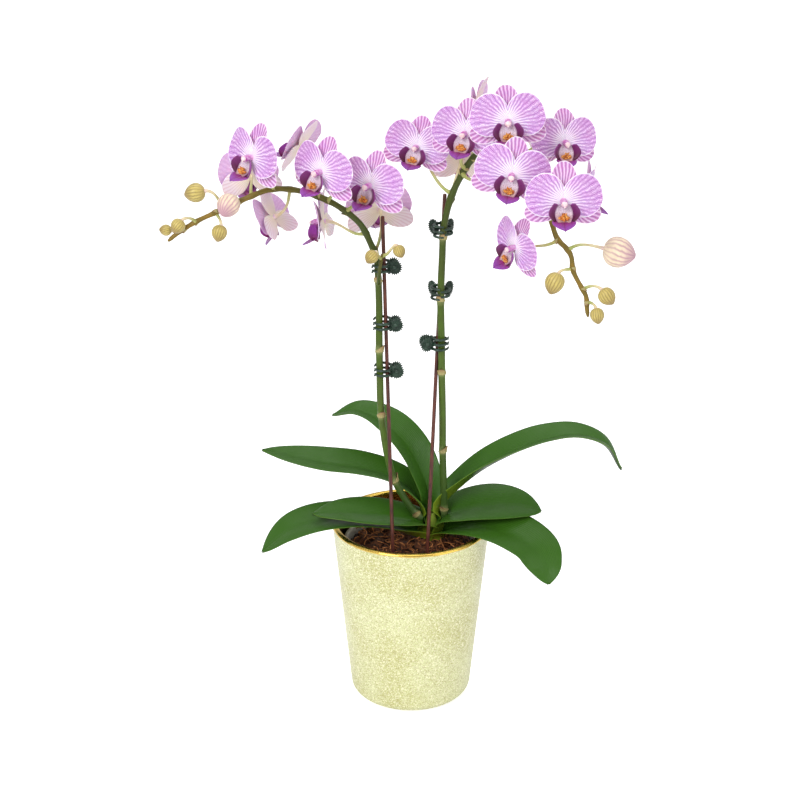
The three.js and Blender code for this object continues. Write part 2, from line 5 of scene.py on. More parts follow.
import bpy
import numpy as np
from mathutils import Matrix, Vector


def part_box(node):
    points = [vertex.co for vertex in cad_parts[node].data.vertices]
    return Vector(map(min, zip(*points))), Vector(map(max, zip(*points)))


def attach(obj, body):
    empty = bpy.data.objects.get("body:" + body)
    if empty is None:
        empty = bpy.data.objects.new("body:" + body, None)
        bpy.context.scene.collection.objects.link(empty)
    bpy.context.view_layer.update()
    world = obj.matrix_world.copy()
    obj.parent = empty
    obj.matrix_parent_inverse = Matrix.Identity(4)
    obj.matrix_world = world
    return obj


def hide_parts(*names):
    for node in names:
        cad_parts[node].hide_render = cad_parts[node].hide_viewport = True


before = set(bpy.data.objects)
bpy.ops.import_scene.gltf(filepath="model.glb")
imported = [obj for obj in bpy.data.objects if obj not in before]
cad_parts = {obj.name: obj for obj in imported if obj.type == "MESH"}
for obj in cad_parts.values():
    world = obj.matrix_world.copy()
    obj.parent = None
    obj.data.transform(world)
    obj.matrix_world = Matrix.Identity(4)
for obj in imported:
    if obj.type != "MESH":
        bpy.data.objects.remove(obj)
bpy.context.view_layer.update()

MM = 0.001
DEG = math.pi / 180
ROOT = "root"

# ---------------------------------------------------------------- sizes and places, in millimetres

GAP = 0.3
POT = dict(height=163, rim=69, base=52.5, wall=5, floor=7, foot_round=9, rim_round=1.6, facets=128)
LINER = dict(height=138, rim=57, base=43, wall=1.4, lip=2.4, drop=5, floor=7.3, facets=96)
MEDIUM = dict(below_rim=7, heap=9, heap_reach=26, lump=2.2, loose_per_m2=26000.0)
CROWN = dict(x=18, y=3, bottom=118, top=190, hidden_tip=20, radius=8.5, tip=3.5)
SPIKE = dict(base=3.0, tip=1.7)
SHOOT = dict(base=1.7, tip=1.4)
STAKE_RADIUS = 1.6
CLIP = dict(radius=6.6, reach=10.6, gap=2.6, tooth=0.9, pitch=4.4, grip=7.4, hinge=6.4)
STALK = dict(radius=1.2, collar=0.75, ripple=0.12, steps=40)
BEDDED = 0.6  # how far a stalk starts inside its stem
# how steeply a leaf folds about the crown at its foot, in degrees, over what share of its length, the height
# of that foot, and how far out from the crown's axis the foot and the knee above it are
CLASP = dict(fold=44, reach=0.2, foot=134, foot_share=0.25, knee_share=0.65)
BLADE = dict(widest=0.58, blunt=2.3, point=0.68, thickness=1.25, rib_width=0.07, groove=0.8, rib=0.9,
             ruffle=0.9)

# spine points | width, share of the width at the base, fold at base and tip, roll
LEAVES = {
    "leaf_left_low": ([(12, -3, 151), (-8, -6, 160), (-34, -9, 169), (-64, -14, 173), (-90, -20, 171),
                       (-110, -27, 164), (-128, -33, 149)], 46, 0.4, (22, 8), -6),
    "leaf_right_low": ([(25, -3, 155), (46, -11, 165), (70, -23, 169), (92, -34, 165), (107, -43, 157),
                        (114, -51, 145), (117, -58, 131)], 50, 0.4, (20, 8), 14),
    "leaf_left_front": ([(12, -4, 163), (-12, -10, 172), (-40, -16, 178), (-64, -20, 181),
                         (-84, -23, 180)], 46, 0.5, (26, 8), -6),
    "leaf_right_mid": ([(26, 2, 167), (44, 0, 175), (68, -2, 180), (94, -4, 180), (113, -6, 175)],
                       52, 0.4, (22, 8), 12),
    "leaf_left_back": ([(13, 7, 174), (-2, 12, 192), (-18, 17, 200), (-45, 22, 206), (-75, 25, 209),
                        (-105, 26, 214), (-130, 26, 219)], 37, 0.45, (36, 10), -12),
    "leaf_right_high": ([(24, 6, 178), (41, 7, 197), (62, 8, 214), (91, 10, 229), (118, 12, 238),
                         (145, 12, 241), (169, 11, 232), (183, 10, 208)], 38, 0.4, (44, 14), 2),
    "leaf_back_high": ([(16, 9, 188), (6, 20, 214), (-9, 32, 232), (-28, 44, 243), (-48, 50, 248),
                        (-69, 54, 241)], 37, 0.4, (50, 16), -14),
}

SPIKES = {
    "spike_left": [
        (9, -1, 166), (1, -2, 175), (-14, -5, 203), (-20, -9, 227), (-24, -12.5, 255), (-26, -14, 278),
        (-26.5, -14, 304), (-27, -10.5, 332), (-27, -5, 364), (-28, -1, 392), (-29, 1, 403), (-33, 0, 413),
        (-42, -3, 432), (-58, -7, 447), (-73, -10, 456), (-94, -12, 463), (-114, -14, 464), (-134, -16, 457),
        (-159, -19, 446), (-175, -22, 439), (-191, -24, 429), (-197, -25, 424),
    ],
    "spike_right": [
        (29, 3, 158), (29, 1, 176), (28, -3, 203), (27, -7, 230), (26.5, -12, 266), (25.5, -16, 301),
        (25, -18, 330), (24, -14, 372), (25, -9, 405), (26, -6.5, 428), (29, -5, 445), (33, -4, 458),
        (39, -4, 471), (45, -5, 482), (52, -8, 491), (65, -15, 500), (81, -23, 502), (95.7, -36, 495),
        (104.9, -52, 474.4), (109, -64, 451.2), (113.8, -68, 438), (120.6, -70, 431.4), (124.5, -71, 425.5),
        (126.4, -72, 413.7), (132.3, -73, 402), (137.2, -74, 393.1), (138.2, -75, 382.4), (139.2, -75, 376.5),
    ],
}
SHOOT_LINE = [(-27.5, -3, 380), (-27, -9, 388), (-26, -12, 398), (-24, -12, 409)]
STAKES = {
    "stake_left": ((-14.5, -45, 110), (-24, 8, 436)),
    "stake_right": ((12, -44, 110), (27, 3.5, 456)),
}

# centre | turn, rise and roll in degrees | size | stem and share along it where the stalk starts
FLOWERS = {
    "flower_left_1": ((-125, -40, 496), -46, 10, 8, 0.98, "spike_left", 0.79),
    "flower_left_2": ((-91, 8, 494), -118, 26, 0, 0.95, "spike_left", 0.71),
    "flower_left_3": ((-71, -46, 486), -38, 8, 8, 0.98, "spike_left", 0.69),
    "flower_left_4": ((-33, -26, 470), -30, 8, 5, 0.98, "spike_left", 0.65),
    "flower_left_5": ((-133, 8, 470), -150, -20, 0, 0.93, "spike_left", 0.83),
    "flower_left_6": ((-114, 10, 434), -112, -28, 0, 0.93, "spike_left", 0.76),
    "flower_left_7": ((-73, 2, 433), -96, -6, 0, 0.98, "spike_left", 0.594),
    "flower_left_8": ((-27, 24, 437), -168, -8, 0, 0.95, "spike_left", 0.555),
    "flower_right_1": ((4, 4, 494), -14, 10, 9, 0.92, "spike_right", 0.565),
    "flower_right_2": ((42, -26, 512), -18, 8, 4, 0.97, "spike_right", 0.61),
    "flower_right_3": ((73, -64, 530), -2, 8, -2, 1, "spike_right", 0.71),
    "flower_right_4": ((119, -38, 508), 14, 6, 4, 0.92, "spike_right", 0.73),
    "flower_right_5": ((75, -92, 495), -4, 6, 10, 1, "spike_right", 0.6),
    "flower_right_6": ((113, -110, 480), 2, 4, 0, 1, "spike_right", 0.84),
    "flower_right_7": ((82, -60, 429.1), -58, 0, 22, 0.9, "spike_right", 0.872),
    "flower_right_8": ((141, -24, 466), 76, -4, 0, 0.92, "spike_right", 0.82),
    "flower_right_9": ((42, 20, 480), 168, -8, 0, 0.88, "spike_right", 0.555),
    "flower_right_10": ((90, 16, 512), 112, 12, 0, 1, "spike_right", 0.69),
    "flower_right_11": ((52, 30, 519), -108, 12, 0, 1, "spike_right", 0.63),
}
# centre | turn and rise | length, width | stem and share | finish
BUDS = {
    "bud_left_1": ((-174, -25, 464), -90, -12, 17, 16, "spike_left", 0.885, "olive"),
    "bud_left_2": ((-147, -32, 455), -30, -35, 20, 19, "spike_left", 0.855, "pink"),
    "bud_left_3": ((-188, -31, 438), -60, -50, 12.5, 12, "spike_left", 0.94, "olive"),
    "bud_left_4": ((-199, -24, 433), -80, 10, 10, 9.5, "spike_left", 0.965, "olive"),
    "bud_left_5": ((-156, -20, 429), -40, -70, 14, 13, "spike_left", 0.9, "olive"),
    "bud_shoot_1": ((-33, -17, 408), -60, -45, 12, 11.5, "shoot", 0.9, "olive"),
    "bud_shoot_2": ((-10, -14, 412), 60, -60, 11, 10.5, "shoot", 0.98, "olive"),
    "bud_right_1": ((162.2, -72, 428.6), 80, -12, 26, 25, "spike_right", 0.893, "pink"),
    "bud_right_2": ((112, -72, 403), -60, -65, 18, 16, "spike_right", 0.922, "olive"),
    "bud_right_3": ((153.9, -75, 393.1), 60, -45, 15, 14, "spike_right", 0.957, "olive"),
    "bud_right_4": ((146.2, -78, 378.1), 30, -70, 13, 11.5, "spike_right", 0.978, "olive"),
}
# stem, stake, height, heading of the two discs, degrees that each disc leans out
CLIPS = {
    "clip_left_1": ("spike_left", "stake_left", 405, 12, 12),
    "clip_left_2": ("spike_left", "stake_left", 347, 8, 12),
    "clip_left_3": ("spike_left", "stake_left", 308, 8, 12),
    "clip_right_1": ("spike_right", "stake_right", 430, 95, 38),
    "clip_right_2": ("spike_right", "stake_right", 376, 88, 38),
    "clip_right_3": ("spike_right", "stake_right", 334, 188, 14),
}
# share along the spike, length, which side in degrees
BRACTS = {
    "spike_left": [(0.0135, 5, 90), (0.1, 7, 200), (0.244, 6, 100), (0.3705, 6, 150), (0.5, 5, 70)],
    "spike_right": [(0.031, 5, 60), (0.142, 7, 150), (0.2825, 6, 80), (0.4, 5, 60), (0.496, 5, 100)],
}

TEPALS = {
    "petal": dict(length=30, width=33.5, turn=80, claw=0.3, seat=1, lift=1.4, sweep=-3, cup=2,
                  blunt=2.15, swell=0.62, uneven=0.17, crease=0.5, fan=80),
    "dorsal": dict(length=29, width=21, turn=0, claw=0.24, seat=-1, lift=-0.4, sweep=-2.6, cup=1.4,
                   blunt=1.9, swell=0.9, uneven=0, crease=0, fan=64),
    "lateral": dict(length=31.5, width=20, turn=114, claw=0.24, seat=-1, lift=-0.4, sweep=-3, cup=1.4,
                    blunt=1.9, swell=0.9, uneven=0, crease=0, fan=64),
}
WIDEST = 0.5  # where along its length a petal or sepal is widest

# ---------------------------------------------------------------- lines and surfaces


def unit(v):
    v = np.asarray(v, float)
    return v / np.maximum(np.linalg.norm(v, axis=-1, keepdims=True), 1e-9)


class Line:
    """A smooth line through points, read by the share of its length."""

    def __init__(self, points, fine=20):
        knots = np.asarray(points, float)
        knots = np.vstack([2 * knots[0] - knots[1], knots, 2 * knots[-1] - knots[-2]])
        dense = []
        for a, b, c, d in zip(knots[:-3], knots[1:-2], knots[2:-1], knots[3:]):
            t0, t1 = 0.0, math.sqrt(np.linalg.norm(b - a))
            t2 = t1 + math.sqrt(np.linalg.norm(c - b))
            t3 = t2 + math.sqrt(np.linalg.norm(d - c))
            t = np.linspace(t1, t2, fine, endpoint=False)[:, None]
            ab = (t1 - t) / (t1 - t0) * a + (t - t0) / (t1 - t0) * b
            bc = (t2 - t) / (t2 - t1) * b + (t - t1) / (t2 - t1) * c
            cd = (t3 - t) / (t3 - t2) * c + (t - t2) / (t3 - t2) * d
            abc = (t2 - t) / (t2 - t0) * ab + (t - t0) / (t2 - t0) * bc
            bcd = (t3 - t) / (t3 - t1) * bc + (t - t1) / (t3 - t1) * cd
            dense.append((t2 - t) / (t2 - t1) * abc + (t - t1) / (t2 - t1) * bcd)
        self.points = np.vstack(dense + [knots[-2:-1]])
        steps = np.linalg.norm(np.diff(self.points, axis=0), axis=1)
        self.length = steps.sum()
        self.run = np.concatenate([[0], np.cumsum(steps)]) / self.length

    def at(self, share):
        return np.stack([np.interp(share, self.run, self.points[:, i]) for i in range(3)], -1)

    def heading(self, share):
        share = np.asarray(share, float)
        return unit(self.at(np.minimum(1, share + 0.006)) - self.at(np.maximum(0, share - 0.006)))

    def share_at_height(self, z, up_to):
        """Where a line that climbs that far reaches a height."""
        low, high = 0.0, up_to
        for _ in range(40):
            middle = (low + high) / 2
            if self.at(middle)[2] < z:
                low = middle
            else:
                high = middle
        return low


def bezier(a, b, c, d, count):
    t = np.linspace(0, 1, count)[:, None]
    return (1 - t) ** 3 * a + 3 * (1 - t) ** 2 * t * b + 3 * (1 - t) * t**2 * c + t**3 * d


def turns(count):
    """Equal steps once round, in radians."""
    return np.arange(count) * 2 * math.pi / count


def ring(radius, turn, z, x=0.0, y=0.0):
    return np.stack(np.broadcast_arrays(x + radius * np.cos(turn), y + radius * np.sin(turn), z), -1)


def turned_about(v, axis, angle):
    v, axis = np.asarray(v, float), unit(axis)
    along = (v * axis).sum(-1, keepdims=True) * axis
    return along + (v - along) * np.cos(angle) + np.cross(axis, v) * np.sin(angle)


def wave(*seeds):
    """A steady random number from 0 to 1 for a set of whole numbers."""
    scatter = (12.9898, 78.233, 37.719, 4.581)
    value = math.sin(sum(s * k for s, k in zip(seeds, scatter)) + 0.7) * 43758.5453
    return value - math.floor(value)


class Form:
    """Gathers closed surfaces: points in millimetres, faces, a (u, v) for each corner, a finish for each face
    and, for each point, 0 on a blade's upper side and 1 on its underside, and its distance from the edge."""

    FAR = 9.0  # that distance where a surface has no edge

    def __init__(self):
        self.points, self.faces, self.corners, self.picks, self.under, self.margin = [], [], [], [], [], []

    def add(self, points, faces, corners, pick=0, under=None, margin=None):
        points = np.asarray(points, float)
        base = len(self.points)
        if signed_volume(points, faces) < 0:
            faces = [f[::-1] for f in faces]
            corners = [c[::-1] for c in corners]
        self.points.extend(points.tolist())
        self.faces.extend([[i + base for i in f] for f in faces])
        self.corners.extend(corners)
        self.picks.extend([pick] * len(faces))
        self.under.extend([0.0] * len(points) if under is None else list(under))
        self.margin.extend([self.FAR] * len(points) if margin is None else list(margin))

    def placed(self, matrix, origin):
        """Turns the points by a 3x3 matrix of columns and moves them to an origin."""
        self.points = (np.array(self.points) @ np.asarray(matrix).T + np.asarray(origin)).tolist()


def signed_volume(points, faces):
    centre = points.mean(0)
    total = 0.0
    for size in (3, 4):
        picked = [f for f in faces if len(f) == size]
        if picked:
            p = points[np.array(picked)] - centre
            for k in range(1, size - 1):
                total += (p[:, 0] * np.cross(p[:, k], p[:, k + 1])).sum()
    return total


def blade_form(form, grid, upper, lower, across, along, pick=0, margin=None):
    """A closed blade about a grid of points [along][across], with its thickness above and below. across is a
    row of u for every station, or a grid of them; margin is each point's distance from the edge."""
    rows, cols = grid.shape[:2]
    normal = unit(np.cross(np.gradient(grid, axis=1), np.gradient(grid, axis=0)))
    top = grid + normal * upper[..., None]
    bottom = grid - normal * lower[..., None]
    count = rows * cols
    index = np.arange(count).reshape(rows, cols)
    a, b, c, d = index[:-1, :-1], index[:-1, 1:], index[1:, 1:], index[1:, :-1]
    loop = np.concatenate([index[0], index[1:, -1], index[-1, -2::-1], index[-2:0:-1, 0]])
    after = np.roll(loop, -1)
    faces = np.concatenate([
        np.stack([a, b, c, d], -1).reshape(-1, 4),
        np.stack([a, d, c, b], -1).reshape(-1, 4) + count,
        np.stack([after, loop, loop + count, after + count], -1),
    ])
    across = across if across.ndim == 2 else np.broadcast_to(across, (rows, cols))
    along = along if along.ndim == 2 else np.broadcast_to(along[:, None], (rows, cols))
    uv = np.stack([across, along], -1).reshape(-1, 2)
    uv = np.concatenate([uv, uv])
    points = np.concatenate([top.reshape(-1, 3), bottom.reshape(-1, 3)])
    under = np.concatenate([np.zeros(count), np.ones(count)])
    edge = None if margin is None else np.concatenate([margin.ravel(), margin.ravel()])
    form.add(points, faces.tolist(), uv[faces].tolist(), pick, under, edge)


def rings_form(form, rings, pick=0, tips=None):
    """A closed surface through rings of points, with a point at each end."""
    rings = np.asarray(rings, float)
    count, sides = rings.shape[:2]
    tips = (rings[0].mean(0), rings[-1].mean(0)) if tips is None else tips
    points = np.vstack([rings.reshape(-1, 3), tips])
    faces, corners = [], []
    for j in range(count - 1):
        v0, v1 = j / (count - 1), (j + 1) / (count - 1)
        for k in range(sides):
            m = (k + 1) % sides
            faces.append([j * sides + k, j * sides + m, (j + 1) * sides + m, (j + 1) * sides + k])
            u0, u1 = k / sides, (k + 1) / sides
            corners.append([(u0, v0), (u1, v0), (u1, v1), (u0, v1)])
    first, last = count * sides, count * sides + 1
    for k in range(sides):
        m = (k + 1) % sides
        u0, u1 = k / sides, (k + 1) / sides
        faces.append([first, m, k])
        corners.append([((u0 + u1) / 2, 0), (u1, 0), (u0, 0)])
        faces.append([last, (count - 1) * sides + k, (count - 1) * sides + m])
        corners.append([((u0 + u1) / 2, 1), (u0, 1), (u1, 1)])
    form.add(points, faces, corners, pick)


def tube_form(form, line, radii, sides=10, pick=0, up=(0, 0, 1)):
    """A round tube along a line of points, with domed ends."""
    shoulder, shoulder_width, dome, nearly_along = 0.35, 0.72, 0.5, 0.95
    line = np.asarray(line, float)
    radii = np.broadcast_to(np.asarray(radii, float), (len(line),))
    tangent = unit(np.gradient(line, axis=0))
    reach = tangent * radii[:, None]
    along_up = abs(np.dot(tangent[0], unit(up))) >= nearly_along
    side = unit(np.cross(tangent[0], (1, 0, 0) if along_up else up))
    turn = turns(sides)[:, None]
    rings = []
    for p, t, r in zip(line, tangent, radii):
        side = unit(side - np.dot(side, t) * t)
        rings.append(p + r * (np.cos(turn) * side + np.sin(turn) * np.cross(t, side)))
    first = line[0] - shoulder * reach[0] + shoulder_width * (rings[0] - line[0])
    last = line[-1] + shoulder * reach[-1] + shoulder_width * (rings[-1] - line[-1])
    rings_form(form, [first, *rings, last], pick, (line[0] - dome * reach[0], line[-1] + dome * reach[-1]))


def ball_form(form, centre, radii, pick=0, around=14, high=9):
    """An egg-shaped ball with its poles along Z."""
    centre, radii, turn = np.asarray(centre, float), np.asarray(radii, float), turns(around)
    steps = math.pi * np.arange(1, high) / high
    rings = [centre + ring(math.sin(a), turn, -math.cos(a)) * radii for a in steps]
    pole = np.array([0, 0, radii[2]])
    rings_form(form, rings, pick, (centre - pole, centre + pole))


def lathe_form(form, profile, facets, wobble=lambda turn, z: 0):
    """A turned solid about Z. profile is (radius, height) pairs from pole to pole, the poles on the axis."""
    turn = turns(facets)
    rings = [ring(r + wobble(turn, z), turn, z) for r, z in profile[1:-1]]
    rings_form(form, rings, 0, ((0, 0, profile[0][1]), (0, 0, profile[-1][1])))


def arc(cx, cz, radius, start, end, count):
    """Profile points round a corner; angles in degrees from +radius."""
    angles = np.linspace(start, end, count) * DEG
    return [(cx + radius * math.cos(a), cz + radius * math.sin(a)) for a in angles]


def into_scene(name, data):
    obj = bpy.data.objects.new(name, data)
    bpy.context.scene.collection.objects.link(obj)
    return obj


def write_points(mesh, **named):
    """A number for each point of a mesh, under each name."""
    for label, values in named.items():
        layer = mesh.attributes.new(label, "FLOAT", "POINT")
        layer.data.foreach_set("value", np.array(values, np.float32))


def settle(piece, node):
    """The piece stands for a CAD node and rides with the plant."""
    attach(piece, ROOT)
    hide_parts(node)


def make_piece(name, form, finishes, stands_for):
    """A form as a settled mesh object, with the finishes that its faces pick from."""
    mesh = bpy.data.meshes.new(name)
    mesh.from_pydata((np.array(form.points) * MM).tolist(), [], form.faces)
    mesh.update()
    corners = np.array([uv for face in form.corners for uv in face], np.float32)
    mesh.uv_layers.new(name="UVMap").data.foreach_set("uv", corners.ravel())
    write_points(mesh, underside=form.under, margin=form.margin)
    for finish in finishes:
        mesh.materials.append(FINISH[finish])
    mesh.polygons.foreach_set("material_index", np.array(form.picks, np.int32))
    mesh.polygons.foreach_set("use_smooth", np.ones(len(mesh.polygons), bool))
    settle(into_scene(name, mesh), stands_for)


# ---------------------------------------------------------------- shader helpers


def node(tree, kind, sockets=None, **settings):
    new = tree.nodes.new(kind)
    for key, value in settings.items():
        setattr(new, key, value)
    for key, value in (sockets or {}).items():
        if isinstance(value, bpy.types.NodeSocket):
            tree.links.new(value, new.inputs[key])
        else:
            new.inputs[key].default_value = value
    return new


def sums(tree, operation, a, b=0.0, clamp=False):
    return node(tree, "ShaderNodeMath", {0: a, 1: b}, operation=operation, use_clamp=clamp).outputs[0]


def times(tree, a, b):
    return sums(tree, "MULTIPLY", a, b)


def remap(tree, value, low, high, to_low=0.0, to_high=1.0):
    found = node(tree, "ShaderNodeMapRange",
                 {"Value": value, "From Min": low, "From Max": high, "To Min": to_low, "To Max": to_high},
                 interpolation_type="SMOOTHSTEP")
    return found.outputs[0]


def mix(tree, share, a, b):
    return node(tree, "ShaderNodeMix", {0: share, 6: a, 7: b}, data_type="RGBA").outputs[2]


def colour(r, g, b):
    """A colour as seen on screen, 0 to 255, in the shader's linear numbers."""
    shades = (c / 255 for c in (r, g, b))
    return tuple(c / 12.92 if c <= 10 / 255 else ((c + 0.055) / 1.055) ** 2.4 for c in shades) + (1.0,)


def group(name, inputs, outputs):
    tree = bpy.data.node_groups.new(name, "ShaderNodeTree")
    for label, kind, value in inputs:
        socket = tree.interface.new_socket(label, in_out="INPUT", socket_type=kind)
        if kind != "NodeSocketVector":
            socket.default_value = value
    for label, kind in outputs:
        tree.interface.new_socket(label, in_out="OUTPUT", socket_type=kind)
    return tree, tree.nodes.new("NodeGroupInput").outputs, tree.nodes.new("NodeGroupOutput").inputs


def use(tree, shared, **sockets):
    given = {key.replace("_", " "): value for key, value in sockets.items()}
    return node(tree, "ShaderNodeGroup", given, node_tree=shared).outputs


F, V, C, I = "NodeSocketFloat", "NodeSocketVector", "NodeSocketColor", "NodeSocketInt"


def vein_lines_group():
    """Lines that run along a blade, evenly spaced across it, wandering a little and fading in from a share of
    its length."""
    tree, given, out = group("vein_lines", [
        ("Place", V, 0), ("Count", F, 5), ("Wander", F, 0.3), ("Width", F, 0.1), ("Fade From", F, 0.0),
        ("Fade To", F, 0.01)], [("Mask", F)])
    split = node(tree, "ShaderNodeSeparateXYZ", {0: given["Place"]})
    noise = node(tree, "ShaderNodeTexNoise", {"Vector": given["Place"], "Scale": 5.0, "Detail": 2.0})
    shift = times(tree, sums(tree, "SUBTRACT", noise.outputs[0], 0.5), given["Wander"])
    across = sums(tree, "ADD", times(tree, split.outputs[0], given["Count"]), shift)
    near = sums(tree, "ABSOLUTE", sums(tree, "SUBTRACT", sums(tree, "FRACT", across), 0.5))
    line = remap(tree, near, 0.0, given["Width"], 1.0, 0.0)
    shown = remap(tree, split.outputs[1], given["Fade From"], given["Fade To"])
    tree.links.new(times(tree, line, shown), out["Mask"])
    return tree


def mottle_group():
    """Two colours mixed by a soft noise."""
    tree, given, out = group("mottle", [("Place", V, 0), ("Scale", F, 50), ("Low", C, (0, 0, 0, 1)),
                                        ("High", C, (1, 1, 1, 1)), ("From", F, 0.35), ("To", F, 0.65)],
                             [("Colour", C), ("Mask", F)])
    noise = node(tree, "ShaderNodeTexNoise",
                 {"Vector": given["Place"], "Scale": given["Scale"], "Detail": 4.0})
    share = remap(tree, noise.outputs[0], given["From"], given["To"])
    tree.links.new(mix(tree, share, given["Low"], given["High"]), out["Colour"])
    tree.links.new(share, out["Mask"])
    return tree


def grain_group():
    """A fine uneven height for bumps."""
    tree, given, out = group("grain", [("Place", V, 0), ("Scale", F, 800), ("Soft", F, 0.5)], [("Height", F)])
    noise = node(tree, "ShaderNodeTexNoise", {"Vector": given["Place"], "Scale": given["Scale"],
                                              "Detail": 3.0, "Roughness": given["Soft"]})
    tree.links.new(noise.outputs[0], out["Height"])
    return tree


VEINS, MOTTLE, GRAIN = vein_lines_group(), mottle_group(), grain_group()


class Finish:
    """A material in the making: its Principled shader and the patterns that are laid on it."""

    def __init__(self, name, **sockets):
        self.material = bpy.data.materials.new(name)
        self.material.use_nodes = True
        self.tree = self.material.node_tree
        self.shader = self.tree.nodes["Principled BSDF"].inputs
        for key, value in sockets.items():
            self.shader[key.replace("_", " ")].default_value = value

    def put(self, value, socket):
        self.tree.links.new(value, self.shader[socket])

    def paint(self, face, back=None):
        """The colour, with another for the underside of a blade."""
        self.put(face if back is None else self.mix(self.attribute("underside"), face, back), "Base Color")

    def solid(self):
        """The place in the object."""
        return node(self.tree, "ShaderNodeTexCoord").outputs["Object"]

    def surface(self):
        """The place in the object, the place on the surface, and how far across and along it that is."""
        place = node(self.tree, "ShaderNodeTexCoord").outputs
        split = node(self.tree, "ShaderNodeSeparateXYZ", {0: place["UV"]}).outputs
        return place["Object"], place["UV"], split[0], split[1]

    def attribute(self, name):
        return node(self.tree, "ShaderNodeAttribute", attribute_name=name).outputs["Fac"]

    def times(self, a, b):
        return times(self.tree, a, b)

    def plus(self, a, b):
        return sums(self.tree, "ADD", a, b)

    def less(self, a, b, clamp=False):
        return sums(self.tree, "SUBTRACT", a, b, clamp)

    def off_middle(self, across):
        return sums(self.tree, "ABSOLUTE", self.less(across, 0.5))

    def most(self, *masks):
        found = masks[0]
        for mask in masks[1:]:
            found = sums(self.tree, "MAXIMUM", found, mask)
        return found

    def ramp(self, *limits):
        return remap(self.tree, *limits)

    def mix(self, share, a, b):
        return mix(self.tree, share, a, b)

    def veins(self, uv, count, wander, width, fade_from=0.0, fade_to=0.01):
        return use(self.tree, VEINS, Place=uv, Count=count, Wander=wander, Width=width, Fade_From=fade_from,
                   Fade_To=fade_to)["Mask"]

    def mottle(self, place, scale, low, high, **limits):
        return use(self.tree, MOTTLE, Place=place, Scale=scale, Low=low, High=high, **limits)["Colour"]

    def blotches(self, place, scale):
        return use(self.tree, MOTTLE, Place=place, Scale=scale)["Mask"]

    def cells(self, place, scale, reading):
        return node(self.tree, "ShaderNodeTexVoronoi", {"Vector": place, "Scale": scale}).outputs[reading]

    def dots(self, place, scale, inner, outer):
        return self.ramp(self.cells(place, scale, "Distance"), inner, outer, 1, 0)

    def flakes(self, place, scale):
        """Three random numbers for each flake."""
        return node(self.tree, "ShaderNodeSeparateColor", {0: self.cells(place, scale, "Color")}).outputs

    def uneven(self, place, scale, soft=0.5):
        return use(self.tree, GRAIN, Place=place, Scale=scale, Soft=soft)["Height"]

    def emboss(self, height, strength, depth):
        bump = node(self.tree, "ShaderNodeBump", {"Height": height, "Strength": strength, "Distance": depth})
        self.put(bump.outputs[0], "Normal")

    def grain(self, place, scale, strength, depth, over=None, soft=0.5):
        """A fine grain in the surface, on top of another height."""
        height = self.uneven(place, scale, soft)
        self.emboss(height if over is None else self.plus(over, height), strength, depth)


# ---------------------------------------------------------------- finishes

TISSUE = dict(Roughness=0.48, Subsurface_Weight=0.12, Subsurface_Scale=0.004, Sheen_Weight=0.12, IOR=1.42)


def petal_finish():
    """Lilac, white at the heart and along the margin, with violet veins that fan out from the claw."""
    f = Finish("petal_lilac", **TISSUE)
    solid, uv, _, out = f.surface()
    stretched = node(f.tree, "ShaderNodeMapping", {"Vector": uv, "Scale": (34, 12, 1)}).outputs[0]
    net = node(f.tree, "ShaderNodeTexVoronoi", {"Vector": stretched, "Scale": 1}, feature="DISTANCE_TO_EDGE")
    network = f.times(f.ramp(net.outputs["Distance"], 0.02, 0.16, 1, 0), f.ramp(out, 0.35, 0.75, 0, 0.6))
    second = f.times(f.veins(uv, 40, 2.6, 0.26, 0.3, 0.5), 0.8)
    third = f.times(f.veins(uv, 58, 6, 0.32, 0.55, 0.8), 0.65)
    veins = f.most(f.veins(uv, 20, 1.3, 0.2), second, third, network)
    face = f.mottle(solid, 110, colour(240, 204, 247), colour(248, 226, 252))
    face = f.mix(f.ramp(out, 0.15, 0.62, 1, 0), face, colour(253, 242, 253))
    face = f.mix(f.times(veins, f.ramp(out, 0.1, 0.42, 0.3, 1)), face, colour(150, 52, 168))
    face = f.mix(f.ramp(f.attribute("margin"), 0.25, 1.1, 0.9, 0), face, colour(252, 240, 252))
    back = f.mix(f.ramp(out, 0.2, 0.7), colour(240, 226, 224), colour(230, 198, 234))
    f.paint(face, f.mix(f.times(veins, 0.55), back, colour(186, 124, 190)))
    f.grain(solid, 1600, 0.25, 0.0004, veins)
    return f.material


def sepal_finish():
    """Paler lilac with strong mauve stripes and a white margin; cream and buff behind."""
    f = Finish("sepal_striped", **TISSUE)
    solid, uv, _, out = f.surface()
    main = f.veins(uv, 22, 0.7, 0.34)
    veins = f.most(main, f.times(f.veins(uv, 44, 1.6, 0.34, 0.5, 0.8), 0.7))
    face = f.mottle(solid, 110, colour(230, 186, 232), colour(240, 210, 240))
    face = f.mix(f.times(veins, f.ramp(out, 0.1, 0.5, 0.6, 0.9)), face, colour(156, 58, 156))
    face = f.mix(f.ramp(f.attribute("margin"), 0.25, 1, 0.9, 0), face, colour(250, 238, 248))
    back = f.mix(f.ramp(out, 0.15, 0.85, 1, 0), colour(240, 222, 232), colour(244, 232, 208))
    f.paint(face, f.mix(f.times(main, 0.4), back, colour(206, 152, 168)))
    f.grain(solid, 1600, 0.25, 0.0004, veins)
    return f.material


